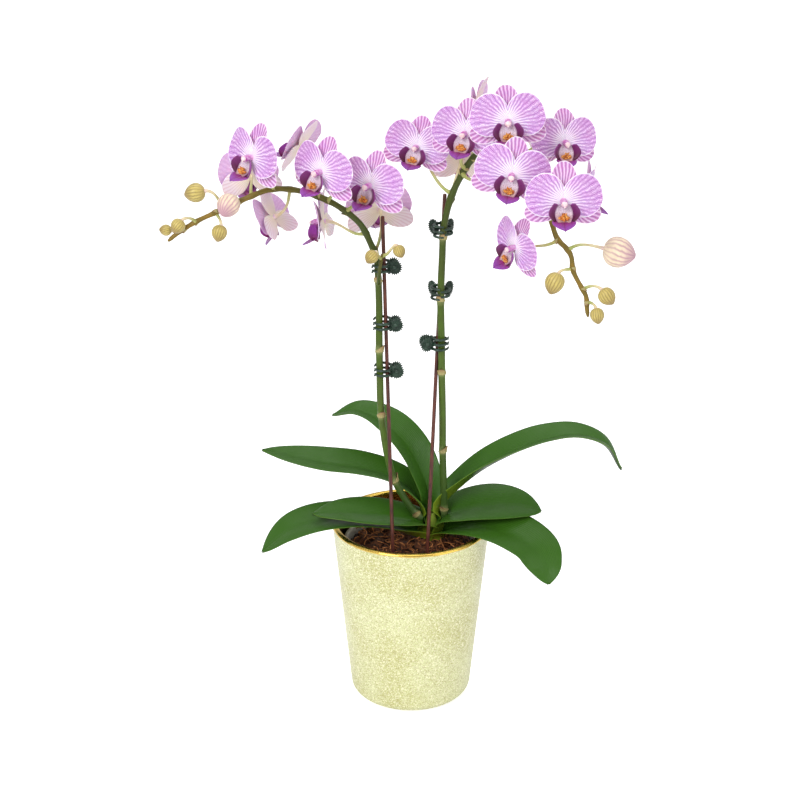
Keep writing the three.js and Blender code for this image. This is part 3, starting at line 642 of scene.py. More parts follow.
def lobe_finish():
    """The lip's side lobes: dark maroon at the foot, deep magenta violet above, with a thin paler rim."""
    f = Finish("lip_side_lobe", Roughness=0.4, Sheen_Weight=0.1, IOR=1.42)
    solid, uv, across, out = f.surface()
    face = f.mix(f.ramp(out, 0.05, 0.85), colour(80, 6, 46), colour(114, 26, 104))
    face = f.mix(f.times(f.veins(uv, 9, 0.6, 0.3), 0.5), face, colour(62, 6, 52))
    rim = f.most(f.ramp(f.off_middle(across), 0.455, 0.497), f.ramp(out, 0.95, 0.995))
    face = f.mix(f.times(rim, 0.5), face, colour(186, 110, 196))
    f.paint(face, f.mix(f.ramp(out, 0, 0.8), colour(112, 18, 72), colour(150, 60, 156)))
    f.grain(solid, 1500, 0.3, 0.0003)
    return f.material


def throat_finish():
    """White at the column, lined and freckled with purple."""
    f = Finish("lip_throat", Roughness=0.42, IOR=1.42)
    solid, uv, across, out = f.surface()
    tone = f.mix(f.ramp(out, 0.3, 1), colour(228, 214, 230), colour(206, 170, 160))
    tone = f.mix(f.times(f.veins(uv, 9, 1.2, 0.28), 0.3), tone, colour(160, 90, 150))
    tone = f.mix(f.times(f.dots(solid, 1500, 0.22, 0.34), 0.75), tone, colour(116, 34, 74))
    tone = f.mix(f.ramp(f.off_middle(across), 0.42, 0.5, 0, 0.6), tone, colour(120, 40, 100))
    f.paint(tone, colour(150, 70, 140))
    return f.material


def midlobe_finish():
    """The lip's middle lobe: magenta violet, darker along its crease and paler at its sides."""
    f = Finish("lip_middle_lobe", Roughness=0.4, Sheen_Weight=0.2, IOR=1.42)
    solid, uv, across, out = f.surface()
    off_middle = f.off_middle(across)
    tone = f.mix(f.ramp(out, 0.1, 0.8), colour(150, 26, 112), colour(146, 54, 168))
    tone = f.mix(f.ramp(off_middle, 0.36, 0.49, 0, 0.6), tone, colour(164, 84, 180))
    tone = f.mix(f.ramp(off_middle, 0, 0.04, 0.5, 0), tone, colour(100, 14, 80))
    f.paint(f.mottle(uv, 14, tone, f.mix(0.35, tone, colour(60, 8, 50))))
    f.grain(solid, 1500, 0.3, 0.0003)
    return f.material


def callus_finish():
    f = Finish("lip_callus", Roughness=0.35, IOR=1.45)
    solid = f.solid()
    base = f.mottle(solid, 300, colour(206, 116, 44), colour(234, 170, 84))
    f.paint(f.mix(f.dots(solid, 1000, 0.26, 0.4), base, colour(112, 30, 26)))
    return f.material


def column_finish():
    f = Finish("column_mauve", Roughness=0.42, Subsurface_Weight=0.1, Subsurface_Scale=0.003)
    solid, _, _, out = f.surface()
    tone = f.mix(f.ramp(out, 0.2, 0.85), colour(226, 176, 220), colour(176, 62, 160))
    f.paint(f.mix(f.blotches(solid, 500), tone, f.mix(0.35, tone, colour(250, 236, 250))))
    return f.material


def cap_finish():
    f = Finish("pollen_cap", Roughness=0.38, Subsurface_Weight=0.1, Subsurface_Scale=0.003)
    f.paint(f.mottle(f.solid(), 420, colour(240, 212, 214), colour(226, 176, 190), From=0.45, To=0.75))
    return f.material


def stalk_finish():
    """Green at the spike and cream pink behind the flower."""
    f = Finish("flower_stalk", Roughness=0.45, IOR=1.42)
    solid, along = f.solid(), f.attribute("along")
    tone = f.mix(f.ramp(along, 0, 0.85), colour(150, 164, 84), colour(228, 214, 176))
    tone = f.mix(f.ramp(along, 0.8, 1), tone, colour(232, 206, 206))
    f.paint(f.mix(f.times(f.blotches(solid, 260), 0.35), tone, colour(196, 170, 120)))
    f.grain(solid, 1400, 0.2, 0.0003)
    return f.material


def spike_finish():
    """Fresh green low down and darkened at the foot as painted shade among the leaves, browner towards the
    tip, pale at each joint.
    """
    f = Finish("spike_green", Roughness=0.4, IOR=1.45, Specular_IOR_Level=0.35)
    solid, along = f.solid(), f.attribute("along")
    tone = f.mix(f.ramp(along, 0.25, 0.6), colour(74, 100, 24), colour(62, 76, 20))
    tone = f.mix(f.ramp(along, 0.6, 0.95), tone, colour(136, 108, 38))
    tone = f.mix(f.times(f.blotches(solid, 120), 0.4), tone, colour(66, 72, 32))
    # painted shade: the foot of the spike is darkened where it rises between the leaves
    tone = f.mix(f.ramp(along, 0, 0.2, 0.7, 0), tone, colour(50, 80, 40))
    f.paint(f.mix(f.times(f.attribute("knot"), 0.6), tone, colour(168, 170, 116)))
    f.grain(solid, 1100, 0.25, 0.0003)
    return f.material


def bract_finish():
    """Dry tan with fine ribs and a brown tip."""
    f = Finish("bract_tan", Roughness=0.6)
    _, uv, _, out = f.surface()
    ribs = f.veins(uv, 9, 0.4, 0.3)
    tone = f.mix(f.ramp(out, 0.1, 0.9), colour(168, 160, 104), colour(160, 132, 88))
    tone = f.mix(f.times(ribs, 0.4), tone, colour(110, 84, 54))
    f.paint(f.mix(f.ramp(out, 0.82, 1), tone, colour(86, 58, 36)))
    f.emboss(ribs, 0.3, 0.0003)
    return f.material


def leaf_finish():
    """Deep glossy green with faint lengthwise lines, yellow green where the leaf clasps the crown."""
    f = Finish("leaf_green", IOR=1.45, Specular_IOR_Level=0.25)
    solid, uv, across, out = f.surface()
    off_middle, fine = f.off_middle(across), f.veins(uv, 26, 0.7, 0.4)
    tone = f.mottle(solid, 26, colour(10, 38, 4), colour(32, 70, 12))
    tone = f.mix(f.times(fine, 0.26), tone, colour(58, 100, 24))
    tone = f.mix(f.ramp(off_middle, 0, 0.03, 0.6, 0), tone, colour(8, 30, 4))
    tone = f.mix(f.ramp(off_middle, 0.478, 0.498, 0, 0.6), tone, colour(126, 160, 62))
    tone = f.mix(f.ramp(out, 0.08, 0.42, 0.95, 0), tone, colour(132, 156, 40))
    f.paint(tone, f.mix(f.times(fine, 0.3), colour(54, 96, 24), colour(36, 68, 14)))
    f.put(f.ramp(f.blotches(solid, 60), 0, 1, 0.3, 0.42), "Roughness")
    f.grain(solid, 700, 0.3, 0.0004, f.times(fine, 0.5))
    return f.material


def crown_finish():
    """Brown at the bark and yellow green above."""
    f = Finish("crown_green", Roughness=0.42, IOR=1.45)
    solid, _, _, out = f.surface()
    tone = f.mix(f.ramp(out, 0.2, 0.8), colour(84, 70, 30), colour(134, 152, 50))
    f.paint(f.mix(f.blotches(solid, 90), tone, f.mix(0.5, tone, colour(90, 116, 40))))
    f.grain(solid, 600, 0.3, 0.0005)
    return f.material


def bud_finish(name, flesh, rib, tip):
    f = Finish(name, Roughness=0.42, IOR=1.43, Sheen_Weight=0.15)
    solid, uv, _, out = f.surface()
    ribs = f.veins(uv, 18, 0.7, 0.36)
    tone = f.mottle(solid, 180, flesh, tuple(min(1, c * 1.15) for c in flesh[:3]) + (1.0,))
    tone = f.mix(f.times(ribs, f.ramp(out, 0.1, 0.5, 0.4, 0.75)), tone, rib)
    f.paint(f.mix(f.ramp(out, 0.45, 1, 0, 0.7), tone, tip))
    f.grain(solid, 1300, 0.3, 0.0004, ribs)
    return f.material


def pot_finish(rim_height):
    """A pale champagne glaze full of fine glitter, with a bright gold line at the rim and a gold lining that
    is darkened deeper in the pot as painted shade.
    """
    f = Finish("champagne_glitter_glaze", IOR=1.5, Coat_Roughness=0.12)
    solid = f.solid()
    x, y, z = node(f.tree, "ShaderNodeSeparateXYZ", {0: solid}).outputs
    spark, speck = f.flakes(solid, 2000), f.flakes(solid, 1000)
    bright = f.most(f.ramp(spark[0], 0.66, 0.95), f.ramp(speck[0], 0.8, 1))
    dark = f.most(f.ramp(spark[1], 0.6, 0.95), f.ramp(speck[1], 0.75, 1))
    glaze = f.mottle(solid, 20, colour(198, 198, 130), colour(214, 217, 160))
    glaze = f.mix(f.times(dark, 0.65), glaze, colour(160, 146, 78))
    glaze = f.mix(f.times(bright, 0.8), glaze, colour(252, 250, 222))
    wander = f.times(f.uneven(solid, 90), 0.0012)
    line = f.ramp(f.less(z, wander), rim_height - 0.003, rim_height - 0.002)
    flat = node(f.tree, "ShaderNodeCombineXYZ", {"X": x, "Y": y}).outputs[0]
    radius = node(f.tree, "ShaderNodeVectorMath", {0: flat}, operation="LENGTH").outputs["Value"]
    slope = (POT["rim"] - POT["base"]) / POT["height"]
    wall_middle = f.plus(f.times(z, slope), (POT["base"] - POT["wall"] / 2) * MM)
    inside = f.ramp(f.less(wall_middle, radius), 0, 0.001)
    gold = f.most(line, f.times(inside, f.ramp(z, 0.008, 0.012)))
    # painted shade: the gold lining turns dark olive brown deeper in the pot, standing in for shade and the
    # dark reflection of the leaves
    gold_with_painted_shade = f.ramp(z, rim_height - 0.016, rim_height - 0.005)
    gold_with_painted_shade = f.mix(gold_with_painted_shade, colour(112, 92, 44), colour(226, 190, 92))
    f.paint(f.mix(gold, glaze, gold_with_painted_shade))
    f.put(f.most(gold, f.times(bright, 0.2)), "Metallic")
    f.put(f.less(f.ramp(spark[2], 0, 1, 0.28, 0.5), f.times(gold, 0.2), clamp=True), "Roughness")
    f.put(f.ramp(gold, 0, 1, 0.3, 0), "Coat Weight")
    glitter = f.times(spark[0], f.ramp(gold, 0, 1, 1, 0))
    f.emboss(f.plus(glitter, f.times(f.uneven(solid, 60), 1.5)), 0.45, 0.0003)
    return f.material


def liner_finish():
    f = Finish("clear_grey_plastic", Roughness=0.3, Transmission_Weight=0.3, IOR=1.45)
    f.paint(f.mottle(f.solid(), 45, colour(196, 192, 178), colour(220, 216, 204)))
    return f.material


def bark_finish(name, low, high):
    f = Finish(name, Roughness=0.85)
    solid = f.solid()
    f.paint(f.mottle(solid, 240, low, high))
    f.grain(solid, 700, 0.6, 0.0012, soft=0.7)
    return f.material


def stake_finish():
    """Red-brown, streaked along its length."""
    f = Finish("stake_red_brown", Roughness=0.42, IOR=1.47)
    long = node(f.tree, "ShaderNodeMapping", {"Vector": f.solid(), "Scale": (1.0, 1.0, 0.08)}).outputs[0]
    f.paint(f.mottle(long, 700, colour(62, 26, 22), colour(100, 50, 36)))
    f.grain(long, 900, 0.3, 0.0003)
    return f.material


def clip_finish():
    f = Finish("clip_dark_green", Roughness=0.38, IOR=1.47)
    solid = f.solid()
    f.paint(f.mottle(solid, 220, colour(26, 46, 36), colour(44, 68, 54)))
    f.grain(solid, 1200, 0.15, 0.0002)
    return f.material


FINISH = {
    "petal": petal_finish(), "sepal": sepal_finish(), "lobe": lobe_finish(), "throat": throat_finish(),
    "midlobe": midlobe_finish(), "callus": callus_finish(), "column": column_finish(), "cap": cap_finish(),
    "stalk": stalk_finish(), "spike": spike_finish(), "bract": bract_finish(), "leaf": leaf_finish(),
    "crown": crown_finish(), "pot": pot_finish(POT["height"] * MM), "liner": liner_finish(),
    "stake": stake_finish(), "clip": clip_finish(),
    "bud_olive": bud_finish("bud_olive", colour(190, 172, 98), colour(128, 104, 52), colour(140, 112, 62)),
    "bud_pink": bud_finish("bud_pink", colour(230, 212, 184), colour(184, 132, 148), colour(170, 112, 148)),
    "bark": bark_finish("bark_dark", colour(34, 18, 8), colour(66, 38, 18)),
    "chip": bark_finish("bark_chip", colour(58, 32, 16), colour(118, 68, 36)),
    "fibre": bark_finish("moss_fibre", colour(116, 62, 30), colour(212, 140, 82)),
}

# ---------------------------------------------------------------- geometry node helpers


def growth_tree(name, inputs):
    """An empty geometry tree with a geometry input and the named sizes."""
    tree = bpy.data.node_groups.new(name, "GeometryNodeTree")
    tree.interface.new_socket("Geometry", in_out="INPUT", socket_type="NodeSocketGeometry")
    for label, kind, value in inputs:
        tree.interface.new_socket(label, in_out="INPUT", socket_type=kind).default_value = value
    tree.interface.new_socket("Geometry", in_out="OUTPUT", socket_type="NodeSocketGeometry")
    return tree, tree.nodes.new("NodeGroupInput").outputs, tree.nodes.new("NodeGroupOutput").inputs


def finish_tree(tree, geometry, out, finish):
    real = node(tree, "GeometryNodeRealizeInstances", {"Geometry": geometry}).outputs[0]
    smooth = node(tree, "GeometryNodeSetShadeSmooth", {"Geometry": real}).outputs[0]
    covered = node(tree, "GeometryNodeSetMaterial", {"Geometry": smooth, "Material": finish}).outputs[0]
    tree.links.new(covered, out[0])


def grow(name, seed_mesh, tree, **values):
    """Runs a geometry tree on a mesh and returns the result as a plain mesh object."""
    seed = into_scene(name + "_seed", seed_mesh)
    modifier = seed.modifiers.new("grow", "NODES")
    modifier.node_group = tree
    for item in tree.interface.items_tree:
        if item.item_type == "SOCKET" and item.in_out == "INPUT" and item.name in values:
            modifier[item.identifier] = values[item.name]
    bpy.context.view_layer.update()
    graph = bpy.context.evaluated_depsgraph_get()
    mesh = bpy.data.meshes.new_from_object(seed.evaluated_get(graph), preserve_all_data_layers=True,
                                           depsgraph=graph)
    seed.modifiers.remove(modifier)
    bpy.data.objects.remove(seed)
    mesh.name = name
    return into_scene(name, mesh)


def stem_tree(name, finish):
    """A round stem along a line of joined points, as thick as each point says."""
    tree, given, out = growth_tree(name, [("Sides", I, 12)])
    curve = node(tree, "GeometryNodeMeshToCurve", {"Mesh": given["Geometry"]}).outputs[0]
    section = node(tree, "GeometryNodeCurvePrimitiveCircle", {"Resolution": given["Sides"], "Radius": 1.0})
    thick = node(tree, "GeometryNodeInputNamedAttribute", {"Name": "thickness"}, data_type="FLOAT").outputs[0]
    body = node(tree, "GeometryNodeCurveToMesh", {"Curve": curve, "Profile Curve": section.outputs[0],
                                                  "Scale": thick, "Fill Caps": True}).outputs[0]
    finish_tree(tree, body, out, finish)
    return tree


def stem_seed(name, lines):
    """A mesh of joined points for stem_tree. Each line is (points, radii, along, knot)."""
    points, edges, thick, along, knot = [], [], [], [], []
    for line, radii, share, bulge in lines:
        base = len(points)
        points.extend((np.asarray(line) * MM).tolist())
        edges.extend([(base + i, base + i + 1) for i in range(len(line) - 1)])
        thick.extend((np.asarray(radii) * MM).tolist())
        along.extend(np.asarray(share).tolist())
        knot.extend(np.asarray(bulge).tolist())
    mesh = bpy.data.meshes.new(name + "_line")
    mesh.from_pydata(points, edges, [])
    write_points(mesh, thickness=thick, along=along, knot=knot)
    return mesh


# ---------------------------------------------------------------- pot, nursery pot and growing medium


def cover_pot():
    """A tapered pot, as tall and as wide as its CAD node, with a rounded foot and rim."""
    low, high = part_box("cover_pot")
    height, rim = (high.z - low.z) / MM, (high.x - low.x) / 2 / MM
    slope = (rim - POT["base"]) / height
    outer = lambda z: POT["base"] + slope * z
    foot, lip, wall, bottom = POT["foot_round"], POT["rim_round"], POT["wall"], POT["floor"]
    profile = [(0, 0), (20, 0), (40, 0), (outer(foot) - foot, 0)]
    profile += arc(outer(foot) - foot, foot, foot, -75, 0, 7)
    profile += [(outer(z), z) for z in np.linspace(foot + 8, height - 4, 18)]
    profile += arc(rim - lip, height - lip, lip, 0, 90, 5)
    profile += arc(rim - wall + lip, height - lip, lip, 90, 180, 5)
    profile += [(outer(z) - wall, z) for z in np.linspace(height - 5, bottom + 5, 14)]
    inner = outer(bottom) - wall
    profile += [(inner - 1.5, bottom + 1.2), (inner - 5, bottom), (20, bottom), (0, bottom)]
    form = Form()
    lathe_form(form, profile, POT["facets"])
    make_piece("cover_pot_glazed", form, ["pot"], "cover_pot")


def nursery_pot():
    """A thin tapered pot with a rolled lip and shallow ribs."""
    foot, base, wall, drop = LINER["floor"], LINER["base"], LINER["wall"], LINER["drop"]
    top, mouth, rim = foot + LINER["height"], LINER["rim"], LINER["rim"] + LINER["lip"]
    outer = lambda z: base + (mouth - base) * (z - foot) / LINER["height"]
    profile = [(0, foot), (30, foot), (base - 1, foot), (base, foot + 1)]
    profile += [(outer(z), z) for z in np.linspace(foot + 6, top - drop - 1, 12)]
    profile += [(rim - 0.3, top - drop), (rim, top - drop + 0.6), (rim, top - 0.6), (rim - 0.5, top),
                (mouth - wall + 0.4, top), (mouth - wall, top - 0.5)]
    profile += [(outer(z) - wall, z) for z in np.linspace(top - drop - 1, foot + wall + 1, 12)]
    profile += [(base - wall - 1, foot + wall), (0, foot + wall)]
    form = Form()
    ribs = lambda turn, z: 0.25 * np.cos(24 * turn) * (12 < z < top - 8)
    lathe_form(form, profile, LINER["facets"], ribs)
    make_piece("nursery_pot_clear", form, ["liner"], "nursery_pot")


def medium_top(x, y):
    """The height of the growing medium, lumpy and heaped about the crown."""
    away = np.hypot(x - CROWN["x"], y - CROWN["y"])
    lumps = (np.sin(0.31 * x + 0.17 * y) + np.sin(0.37 * y - 0.11 * x)) * 0.5 * MEDIUM["lump"]
    heap = MEDIUM["heap"] * np.exp(-((away / MEDIUM["heap_reach"]) ** 2))
    return LINER["floor"] + LINER["height"] - MEDIUM["below_rim"] + heap + lumps


def strewn(tree, given, out, thing, lean, small, large, turn_seed, size_seed, finish):
    """Copies of a thing spread over the given surface, turned and sized at random."""
    any_way = 6.28
    spots = node(tree, "GeometryNodeDistributePointsOnFaces",
                 {"Mesh": given["Geometry"], "Density": given["Density"], "Seed": given["Seed"]}).outputs[0]
    turn = node(tree, "FunctionNodeRandomValue", {
        0: (-lean, -lean, 0.0), 1: (lean, lean, any_way), "Seed": turn_seed}, data_type="FLOAT_VECTOR")
    size = node(tree, "FunctionNodeRandomValue", {2: small, 3: large, "Seed": size_seed}, data_type="FLOAT")
    spread = node(tree, "GeometryNodeInstanceOnPoints", {
        "Points": spots, "Instance": thing, "Rotation": turn.outputs[0], "Scale": size.outputs[1]}).outputs[0]
    finish_tree(tree, spread, out, FINISH[finish])


def chip_tree():
    """Bark chips strewn over a surface."""
    tree, given, out = growth_tree("strewn_chips", [
        ("Density", F, 20000.0), ("Chip", V, (0.011, 0.007, 0.004)), ("Seed", I, 3)])
    cube = node(tree, "GeometryNodeMeshCube", {"Size": given["Chip"], "Vertices X": 4, "Vertices Y": 3,
                                               "Vertices Z": 2}).outputs[0]
    noise = node(tree, "ShaderNodeTexNoise", {"Scale": 190.0, "Detail": 1.0}).outputs[1]
    push = node(tree, "ShaderNodeVectorMath", {0: noise, 1: (0.5, 0.5, 0.5)}, operation="SUBTRACT").outputs[0]
    push = node(tree, "ShaderNodeVectorMath", {0: push, "Scale": 0.010}, operation="SCALE").outputs[0]
    chip = node(tree, "GeometryNodeSetPosition", {"Geometry": cube, "Offset": push}).outputs[0]
    strewn(tree, given, out, chip, 0.5, 0.55, 1.25, 5, 9, "chip")
    return tree


def fibre_tree():
    """Curled fibres strewn over a surface."""
    tree, given, out = growth_tree("strewn_fibres", [
        ("Density", F, 20000.0), ("Thickness", F, 0.0004), ("Seed", I, 8)])
    curl = node(tree, "GeometryNodeCurveSpiral", {"Resolution": 12, "Rotations": 0.7, "Start Radius": 0.009,
                                                  "End Radius": 0.003, "Height": 0.004}).outputs[0]
    section = node(tree, "GeometryNodeCurvePrimitiveCircle", {"Resolution": 4, "Radius": given["Thickness"]})
    fibre = node(tree, "GeometryNodeCurveToMesh", {"Curve": curl, "Profile Curve": section.outputs[0],
                                                   "Fill Caps": True}).outputs[0]
    strewn(tree, given, out, fibre, 0.7, 0.5, 1.3, 2, 6, "fibre")
    return tree


def growing_medium():
    """The bark in the nursery pot, with loose chips and fibres on top."""
    bottom = LINER["floor"] + LINER["wall"] + GAP
    radius = LINER["rim"] - LINER["wall"] - 1.2
    rows, sides, shoulder, rounding = 14, 72, 132.0, 1.5
    turn = turns(sides)
    low = ((20, bottom), (LINER["base"] - 3, bottom), (LINER["base"] - 2, bottom + 8), (radius, shoulder))
    top = []
    for r in np.linspace(radius, 3, rows):
        height = medium_top(r * np.cos(turn), r * np.sin(turn))
        top.append(ring(r, turn, height - (rounding if r == radius else 0)))
    form = Form()
    rings_form(form, [ring(r, turn, z) for r, z in low] + top, 0,
               ((0, 0, bottom), (0, 0, float(medium_top(0, 0)))))
    make_piece("growing_medium", form, ["bark"], "bark_medium")

    face = bpy.data.meshes.new("medium_face")
    inside = np.array([one * (0.93, 0.93, 1) for one in top]) * MM
    index = np.arange(rows * sides).reshape(rows, sides)
    after = np.roll(index, -1, axis=1)
    quads = np.stack([index[:-1], index[1:], after[1:], after[:-1]], -1).reshape(-1, 4)
    face.from_pydata(inside.reshape(-1, 3).tolist(), [], quads.tolist())
    for name, tree in (("bark_chips", chip_tree()), ("moss_fibres", fibre_tree())):
        settle(grow(name, face.copy(), tree, Density=MEDIUM["loose_per_m2"]), "bark_medium")


# ---------------------------------------------------------------- leaves and crown


def clasping(spine):
    """A leaf's spine, led down into the crown."""
    start = np.array(spine[0], float)
    axis = np.array([CROWN["x"], CROWN["y"], 0.0])
    foot = axis + CLASP["foot_share"] * (start - axis)
    knee = axis + CLASP["knee_share"] * (start - axis)
    foot[2] = CLASP["foot"]
    knee[2] = (CLASP["foot"] + start[2]) / 2
    return [tuple(foot), tuple(knee)] + list(spine)


def blade_share(t, widest, base, tip=0.02, blunt=2.0, swell=1.0, point=0.5):
    """A blade's half width along its length, as a share of the widest."""
    t = np.asarray(t, float)
    rising = base + (1 - base) * np.power(np.sin(np.clip(t / widest, 0, 1) * math.pi / 2), swell)
    beyond = np.clip((t - widest) / (1 - widest), 0, 1)
    falling = tip + (1 - tip) * np.power(np.maximum(0, 1 - beyond**blunt), point)
    return np.where(t < widest, rising, falling)


def leaf(name, spine, width, base, fold, roll):
    """A strap leaf, folded along its middle, with a rib below and a slight ruffle."""
    line = Line(clasping(spine))
    along = np.sin(np.linspace(0, 1, 60) * math.pi / 2)
    across = np.linspace(-1, 1, 25)
    across = np.sign(across) * np.abs(across) ** 0.9
    centre, heading = line.at(along), line.heading(along)
    side = turned_about(unit(np.cross((0, 0, 1), heading)), heading, roll * DEG)
    normal = np.cross(heading, side)
    seed = sum(ord(c) for c in name)
    half = width / 2 * blade_share(along, BLADE["widest"], base, blunt=BLADE["blunt"], point=BLADE["point"])
    clasp = CLASP["fold"] * np.exp(-((along / CLASP["reach"]) ** 2))
    lift = (fold[0] + (fold[1] - fold[0]) * along + clasp) * DEG
    u = across[None, :, None]
    half, lift = half[:, None, None], lift[:, None, None]
    ruffle = BLADE["ruffle"] * np.sin(7 * along + seed)[:, None, None] * np.abs(u) ** 2 * np.sign(u)
    grid = (centre[:, None] + side[:, None] * half * u * np.cos(lift)
            + normal[:, None] * (half * (np.abs(u) - 0.5) * np.sin(lift) + ruffle))
    thick = BLADE["thickness"] * np.sqrt(np.maximum(0.04, 1 - across**2))[None] * np.ones((len(along), 1))
    rib = np.exp(-((across / BLADE["rib_width"]) ** 2))[None] * (1 - 0.6 * along)[:, None]
    upper, lower = thick - BLADE["groove"] * rib, thick + BLADE["rib"] * rib
    form = Form()
    blade_form(form, grid, upper, lower, (across + 1) / 2, along)
    make_piece(name + "_blade", form, ["leaf"], name)


def crown():
    """The short stem, ridged on two sides by the feet of the leaves."""
    share, turn = np.linspace(0, 1, 36), turns(40)
    heights = CROWN["bottom"] + share * (CROWN["top"] - CROWN["hidden_tip"] - CROWN["bottom"])
    radii = CROWN["radius"] + (CROWN["tip"] - CROWN["radius"]) * share**2
    rings = []
    for height, radius, part in zip(heights, radii, share):
        overlap = 0.06 * np.abs(np.sin(part * 14 + 0.5 * turn)) - 0.2 * np.abs(np.sin(turn)) ** 1.5
        rings.append(ring(radius * (1 + overlap), turn, height, CROWN["x"], CROWN["y"]))
    form = Form()
    rings_form(form, rings)
    make_piece("crown_stem", form, ["crown"], "crown")


# ---------------------------------------------------------------- spikes, stakes and clips

LINES = {name: Line(points) for name, points in SPIKES.items()}
LINES["shoot"] = Line(SHOOT_LINE)
STEM_TREES = {key: stem_tree(name, FINISH[key])
              for key, name in (("spike", "spike_stem"), ("stalk", "flower_stalk"), ("stake", "stake_rod"))}


def spike_radius(share):
    thinning = np.maximum(0, (np.asarray(share) - 0.4) / 0.6)
    return SPIKE["base"] + (SPIKE["tip"] - SPIKE["base"]) * thinning


def stem_radius(stem, share):
    return SHOOT["tip"] if stem == "shoot" else float(spike_radius(share))


def bract(form, line, share, length, side_angle, radius, wide=1.0):
    """A pointed sheath that hugs the stem and stands off it towards its tip."""
    count, cols, thickness = 12, 13, 0.2
    t = np.linspace(0, 1, count)
    place = np.minimum(1, share - 1.5 / line.length + t * length / line.length)
    centre, heading = line.at(place), line.heading(place)
    first = unit(np.cross(heading, (0, 1, 0.01)))
    other = np.cross(heading, first)
    reach = (1 - t**0.8) * 150 * wide + 6
    off = radius + 0.15 + 1.1 * t**2
    grid = np.zeros((count, cols, 3))
    for i in range(count):
        angles = (side_angle + np.linspace(-reach[i], reach[i], cols))[:, None] * DEG
        grid[i] = centre[i] + off[i] * (np.cos(angles) * first[i] + np.sin(angles) * other[i])
    thick = np.full((count, cols), thickness)
    blade_form(form, grid, thick, thick, np.linspace(0, 1, cols), t)


def bulges(line, share, places, reach):
    """1 at each of the places along a stem, falling away over a reach in millimetres."""
    found = np.zeros_like(share)
    for place in places:
        found = np.maximum(found, np.exp(-(((share - place) * line.length / reach) ** 2)))
    return found


def spike(name):
    """A flowering stem, thicker at each bract and each stalk, with its bracts as a piece of their own."""
    line, share = LINES[name], np.linspace(0, 1, 150)
    joints = [f[6] for f in FLOWERS.values() if f[5] == name] + [b[6] for b in BUDS.values() if b[5] == name]
    knots = bulges(line, share, [b[0] for b in BRACTS[name]], 2.5)
    radii = spike_radius(share) + 0.5 * knots + 0.5 * bulges(line, share, joints, 3.5)
    radii[-1] *= 0.5
    lines = [(line.at(share), radii, share, knots)]
    if name == "spike_left":
        short = np.linspace(0, 1, 24)
        lines.append((LINES["shoot"].at(short), SHOOT["base"] + (SHOOT["tip"] - SHOOT["base"]) * short,
                      0.5 + 0.3 * short, np.zeros(24)))
    settle(grow(name + "_stem", stem_seed(name, lines), STEM_TREES["spike"], Sides=14), name)
    form = Form()
    for place, length, angle in BRACTS[name]:
        bract(form, line, place, length, angle, float(spike_radius(place)) + 0.5)
    for k, place in enumerate(sorted(joints)):
        bract(form, line, place, 3.4, 360 * wave(k, 3), float(spike_radius(place)) + 0.35, 0.45)
    make_piece(name + "_bracts", form, ["bract"], name)


def stake(name):
    """A straight rod with rounded ends."""
    a, b = (np.array(p, float) for p in STAKES[name])
    share = np.concatenate([[0, 0.002], np.linspace(0.004, 0.996, 40), [0.999, 1]])
    radii = np.full(len(share), STAKE_RADIUS)
    radii[[0, -1]] *= 0.4
    radii[[1, -2]] *= 0.85
    rod = stem_seed(name, [(a + (b - a) * share[:, None], radii, share, np.zeros(len(share)))])
    settle(grow(name + "_rod", rod, STEM_TREES["stake"], Sides=16), name)


def ray_tree():
    """A round disc whose edge is cut into rays, with a domed boss on both faces."""
    tree, given, out = growth_tree("rayed_disc", [
        ("Radius", F, 0.0068), ("Thickness", F, 0.0018), ("Rays", I, 20)])
    radius = lambda part: times(tree, given["Radius"], part)
    thickness = lambda part: times(tree, given["Thickness"], part)
    disc = node(tree, "GeometryNodeMeshCylinder", {
        "Vertices": 40, "Side Segments": 1, "Fill Segments": 2, "Radius": radius(0.82),
        "Depth": thickness(0.4)}).outputs[0]
    spots = node(tree, "GeometryNodeMeshCircle", {"Vertices": given["Rays"],
                                                  "Radius": radius(0.66)}).outputs[0]
    step = sums(tree, "DIVIDE", 2 * math.pi, given["Rays"])
    angle = times(tree, node(tree, "GeometryNodeInputIndex").outputs[0], step)
    turn = node(tree, "ShaderNodeCombineXYZ", {"Z": angle}).outputs[0]
    size = node(tree, "ShaderNodeCombineXYZ", {"X": radius(0.76), "Y": radius(0.16),
                                               "Z": thickness(1.15)}).outputs[0]
    ray = node(tree, "GeometryNodeMeshUVSphere", {"Segments": 8, "Rings": 6, "Radius": 0.5}).outputs[0]
    rays = node(tree, "GeometryNodeInstanceOnPoints", {"Points": spots, "Instance": ray, "Rotation": turn,
                                                       "Scale": size}).outputs[0]
    ball = node(tree, "GeometryNodeMeshUVSphere", {"Segments": 20, "Rings": 10,
                                                   "Radius": radius(0.32)}).outputs[0]
    boss = node(tree, "GeometryNodeTransform", {"Geometry": ball, "Scale": (1, 1, 0.75)}).outputs[0]
    joined = node(tree, "GeometryNodeJoinGeometry")
    for part in (boss, rays, disc):
        tree.links.new(part, joined.inputs[0])
    finish_tree(tree, joined.outputs[0], out, FINISH["clip"])
    return tree


